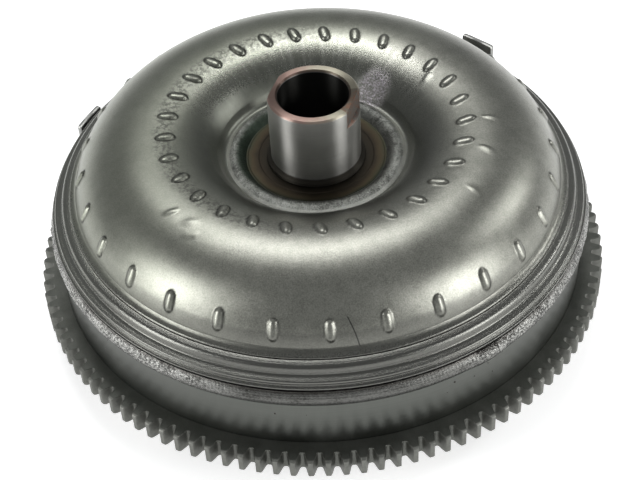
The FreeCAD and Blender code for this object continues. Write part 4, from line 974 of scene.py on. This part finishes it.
def foot_bead(azimuth, low, lean):
    """Fillet bead under a plate: its section (out, down) is carried round the wall, shrinking at
    both ends, with crescent ripples."""
    leg_out, leg_down = 4.5, 4.0
    span = math.degrees(weight_wide * 0.8 / cover_radius)
    along = np.linspace(-1.0, 1.0, 60)[:, None]
    t = np.linspace(0.0, 1.0, 11)[None, :]
    size = np.sqrt(np.maximum(1 - np.abs(along) ** 6, 0.03))
    crown = (0.5 + 0.13 * ripples(along * 8.0, 2 * t - 1, 1.9)) * np.sin(math.pi * t)
    r = cover_radius + leg_out * size * (1 - t) + crown * 0.7
    z = low - leg_down * size * t - crown * 0.7 + 0.3 * lean * along
    ones = np.ones_like(along)
    r = np.hstack([r, (cover_radius - 0.4) * ones, (cover_radius + 0.6) * ones])
    z = np.hstack([z, (low - 2.0) * ones, (low + 1.2) * ones])
    return swept(r, np.radians(azimuth + along * span / 2), z)


plate_steel, shader, place = finish("rolled_plate_steel")
grain = place.noise(1.6, 4.0, 0.65)
cloud = place.noise(0.12, 3.0, 0.6)
rolled = streaks(axis_parts(place), 40.0, 0.2, 0.2)
shade = (0.5 * cloud + 0.3 * grain + 0.3 * rolled).rise(0.3, 0.8)
skin(shader, shade.mixed((0.20, 0.205, 0.20), (0.42, 0.42, 0.40)), 0.32 + 0.2 * grain,
     grain * 0.6 + rolled * 0.5, 0.6, 0.07)
weight_beads = []
for side, azimuth, foot_low, lean in (("left", 152.0, 40.0, 1.0), ("right", 47.3, 48.0, -0.6)):
    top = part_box("balance_weight_" + side)[1].z / mm
    piece("balance_plate_" + side, [balance_plate(azimuth, top)], ["balance_weight_" + side],
          plate_steel, loop=False)
    weight_beads.append(foot_bead(azimuth, foot_low, lean))
piece("balance_weight_beads", weight_beads, ["balance_weight_welds"], weld_metal, ring=False)

# ---- impeller vanes and core ring ----
# Thin pressed vanes with tabs through the shell, and the half ring that holds their inner edges,
# furnace brazed together: dark grey with a copper bloom where the braze ran.


def coat(material, *nodes):
    """Puts a finish on CAD pieces, whose meshes stay as they are."""
    for node in nodes:
        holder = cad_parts[node]
        if not holder.material_slots:
            holder.data.materials.append(material)
        for slot in holder.material_slots:
            slot.material = material


def sheet_metal(name, dark, bright, bloom, bloomed=0.3, low=0.26, high=0.46):
    """Pressed sheet: rolling grain, cloudy grey, and patches of another tint."""
    made, shader, place = finish(name)
    grain = place.noise(1.8, 4.0, 0.65)
    cloud = place.noise(0.09, 3.0, 0.6)
    base = (0.6 * cloud + 0.4 * grain).rise(0.25, 0.8).mixed(dark, bright)
    patches = place.noise(0.05, 3.0, 0.55).rise(0.5, 0.7)
    skin(shader, (patches * bloomed).mixed(base, bloom), low + (high - low) * cloud + 0.08 * grain,
         grain * 0.7 + cloud * 0.4, 0.5, 0.06)
    return made


coat(sheet_metal("brazed_vane_sheet", (0.20, 0.20, 0.19), (0.42, 0.41, 0.39), (0.42, 0.26, 0.17),
                 0.45), "impeller_blades")
coat(sheet_metal("brazed_core_sheet", (0.24, 0.24, 0.225), (0.46, 0.45, 0.42), (0.40, 0.27, 0.19)),
     "impeller_core_ring")

# ---- turbine ----
# Pressed shell with its own vanes and core ring, riveted to a splined hub. The shell has the same
# furnace finish, and the hub is turned and hardened.

coat(sheet_metal("turbine_sheet", (0.23, 0.235, 0.23), (0.45, 0.45, 0.43), (0.36, 0.30, 0.22)),
     "turbine_shell", "turbine_core_ring")
coat(sheet_metal("turbine_vane_sheet", (0.22, 0.22, 0.21), (0.44, 0.43, 0.41), (0.42, 0.27, 0.18),
                 0.40), "turbine_blades")
coat(turned_steel("splined_hub_steel", (0.36, 0.35, 0.33), (0.58, 0.57, 0.54)), "turbine_hub")

rivet_steel, shader, place = finish("headed_rivet_steel")
scuffs = place.noise(1.4, 3.0, 0.7).rise(0.45, 0.7)
cloud = place.noise(0.2, 2.0)
skin(shader, (scuffs * 0.6 + cloud * 0.4).mixed((0.30, 0.30, 0.29), (0.55, 0.54, 0.52)),
     0.24 + 0.25 * cloud, scuffs, 0.5, 0.05)
coat(rivet_steel, "turbine_rivets", "retainer_rivets")

# ---- lock-up clutch and damper ----
# Pressed piston with a bonded paper ring that grips the cover, a rubbery seal at its bore, a
# retainer for the damper springs and a drive ring on the turbine.

coat(sheet_metal("piston_sheet", (0.26, 0.26, 0.25), (0.50, 0.49, 0.47), (0.34, 0.32, 0.28), 0.25),
     "lockup_piston")
coat(sheet_metal("hardened_sheet", (0.14, 0.14, 0.14), (0.30, 0.30, 0.30), (0.20, 0.17, 0.14),
                 0.35, 0.3, 0.5), "damper_drive_ring", "spring_retainer")

paper, shader, place = finish("friction_paper_brown", 0.0, specular_ior_level=0.3)
fibres = place.noise(3.2, 5.0, 0.75)
weave = place.noise(0.6, 3.0, 0.6)
shade = (fibres * 0.7 + weave * 0.3).rise(0.3, 0.75)
skin(shader, shade.mixed((0.11, 0.075, 0.045), (0.27, 0.20, 0.13)),
     0.78 + 0.15 * fibres, fibres + 0.5 * weave, 1.0, 0.12)
coat(paper, "friction_lining")

seal_finish, shader, place = finish("seal_black", 0.0)
bloom = place.noise(0.4, 3.0)
fine = place.noise(4.0, 3.0)
skin(shader, (bloom * 0.6 + fine * 0.4).mixed((0.018, 0.017, 0.016), (0.05, 0.048, 0.045)),
     0.42 + 0.25 * bloom, fine, 0.4, 0.03)
coat(seal_finish, "piston_seal_ring")

spring_steel, shader, place = finish("oil_tempered_spring_steel")
drawn = place.noise(0.8, 4.0, 0.6)
speck = place.noise(4.0, 3.0, 0.6)
shade = (drawn * 0.6 + speck * 0.4).rise(0.3, 0.75)
skin(shader, shade.mixed((0.10, 0.11, 0.14), (0.30, 0.31, 0.34)),
     0.22 + 0.2 * drawn, speck + drawn * 0.6, 0.4, 0.03)
coat(spring_steel, "damper_springs", "stator_snap_ring", "clutch_springs")

bronze, shader, place = finish("washer_bronze_cast")
cloud = place.noise(0.15, 3.0)
rings = streaks(axis_parts(place), 0.5, 5.0, 0.5)
skin(shader, (cloud * 0.5 + rings * 0.5).mixed((0.42, 0.26, 0.12), (0.66, 0.46, 0.24)),
     0.24 + 0.2 * cloud, rings, 0.5, 0.04)
coat(bronze, "front_thrust_washer")

# ---- stator and its one-way clutch ----
# Cast aluminium wheel with its blades, pressed round a roller clutch between two hardened races
# and two cast caps.


def cast_aluminium(name, dark, bright):
    """Die cast aluminium: fine sandy skin, pale grey, duller in patches."""
    made, shader, place = finish(name)
    sand = place.noise(1.5, 4.0, 0.7)
    patch = place.noise(0.08, 3.0)
    skin(shader, (sand * 0.4 + patch * 0.6).rise(0.25, 0.8).mixed(dark, bright),
         0.40 + 0.15 * sand + 0.1 * patch, sand, 0.8, 0.12)
    return made


coat(cast_aluminium("cast_stator_aluminium", (0.46, 0.47, 0.47), (0.68, 0.68, 0.67)), "stator_wheel")
coat(cast_aluminium("cast_cap_aluminium", (0.42, 0.42, 0.42), (0.62, 0.62, 0.61)),
     "clutch_upper_cap", "clutch_lower_cap")
race_steel = turned_steel("ground_race_steel", (0.46, 0.46, 0.45), (0.68, 0.67, 0.65), 0.10, 0.24)
coat(race_steel, "clutch_outer_race", "clutch_inner_race", "stator_upper_race", "stator_lower_race")

# ---- rolling bearings ----
# Needle thrust bearings: drawn cages, ground races, and needles polished bright.

roller_steel, shader, place = finish("polished_roller_steel")
haze = place.noise(0.9, 3.0)
lines = place.noise(5.0, 2.0)
skin(shader, haze.mixed((0.58, 0.58, 0.57), (0.74, 0.73, 0.71)), 0.08 + 0.10 * haze, lines, 0.3, 0.02)
coat(roller_steel, "hub_bearing_needles", "turbine_bearing_needles", "clutch_rollers")
coat(sheet_metal("bearing_cage_sheet", (0.30, 0.30, 0.29), (0.56, 0.55, 0.53), (0.40, 0.38, 0.32),
                 0.2, 0.2, 0.36), "hub_bearing_cage", "turbine_bearing_cage")
coat(race_steel, "hub_bearing_race", "turbine_bearing_race")
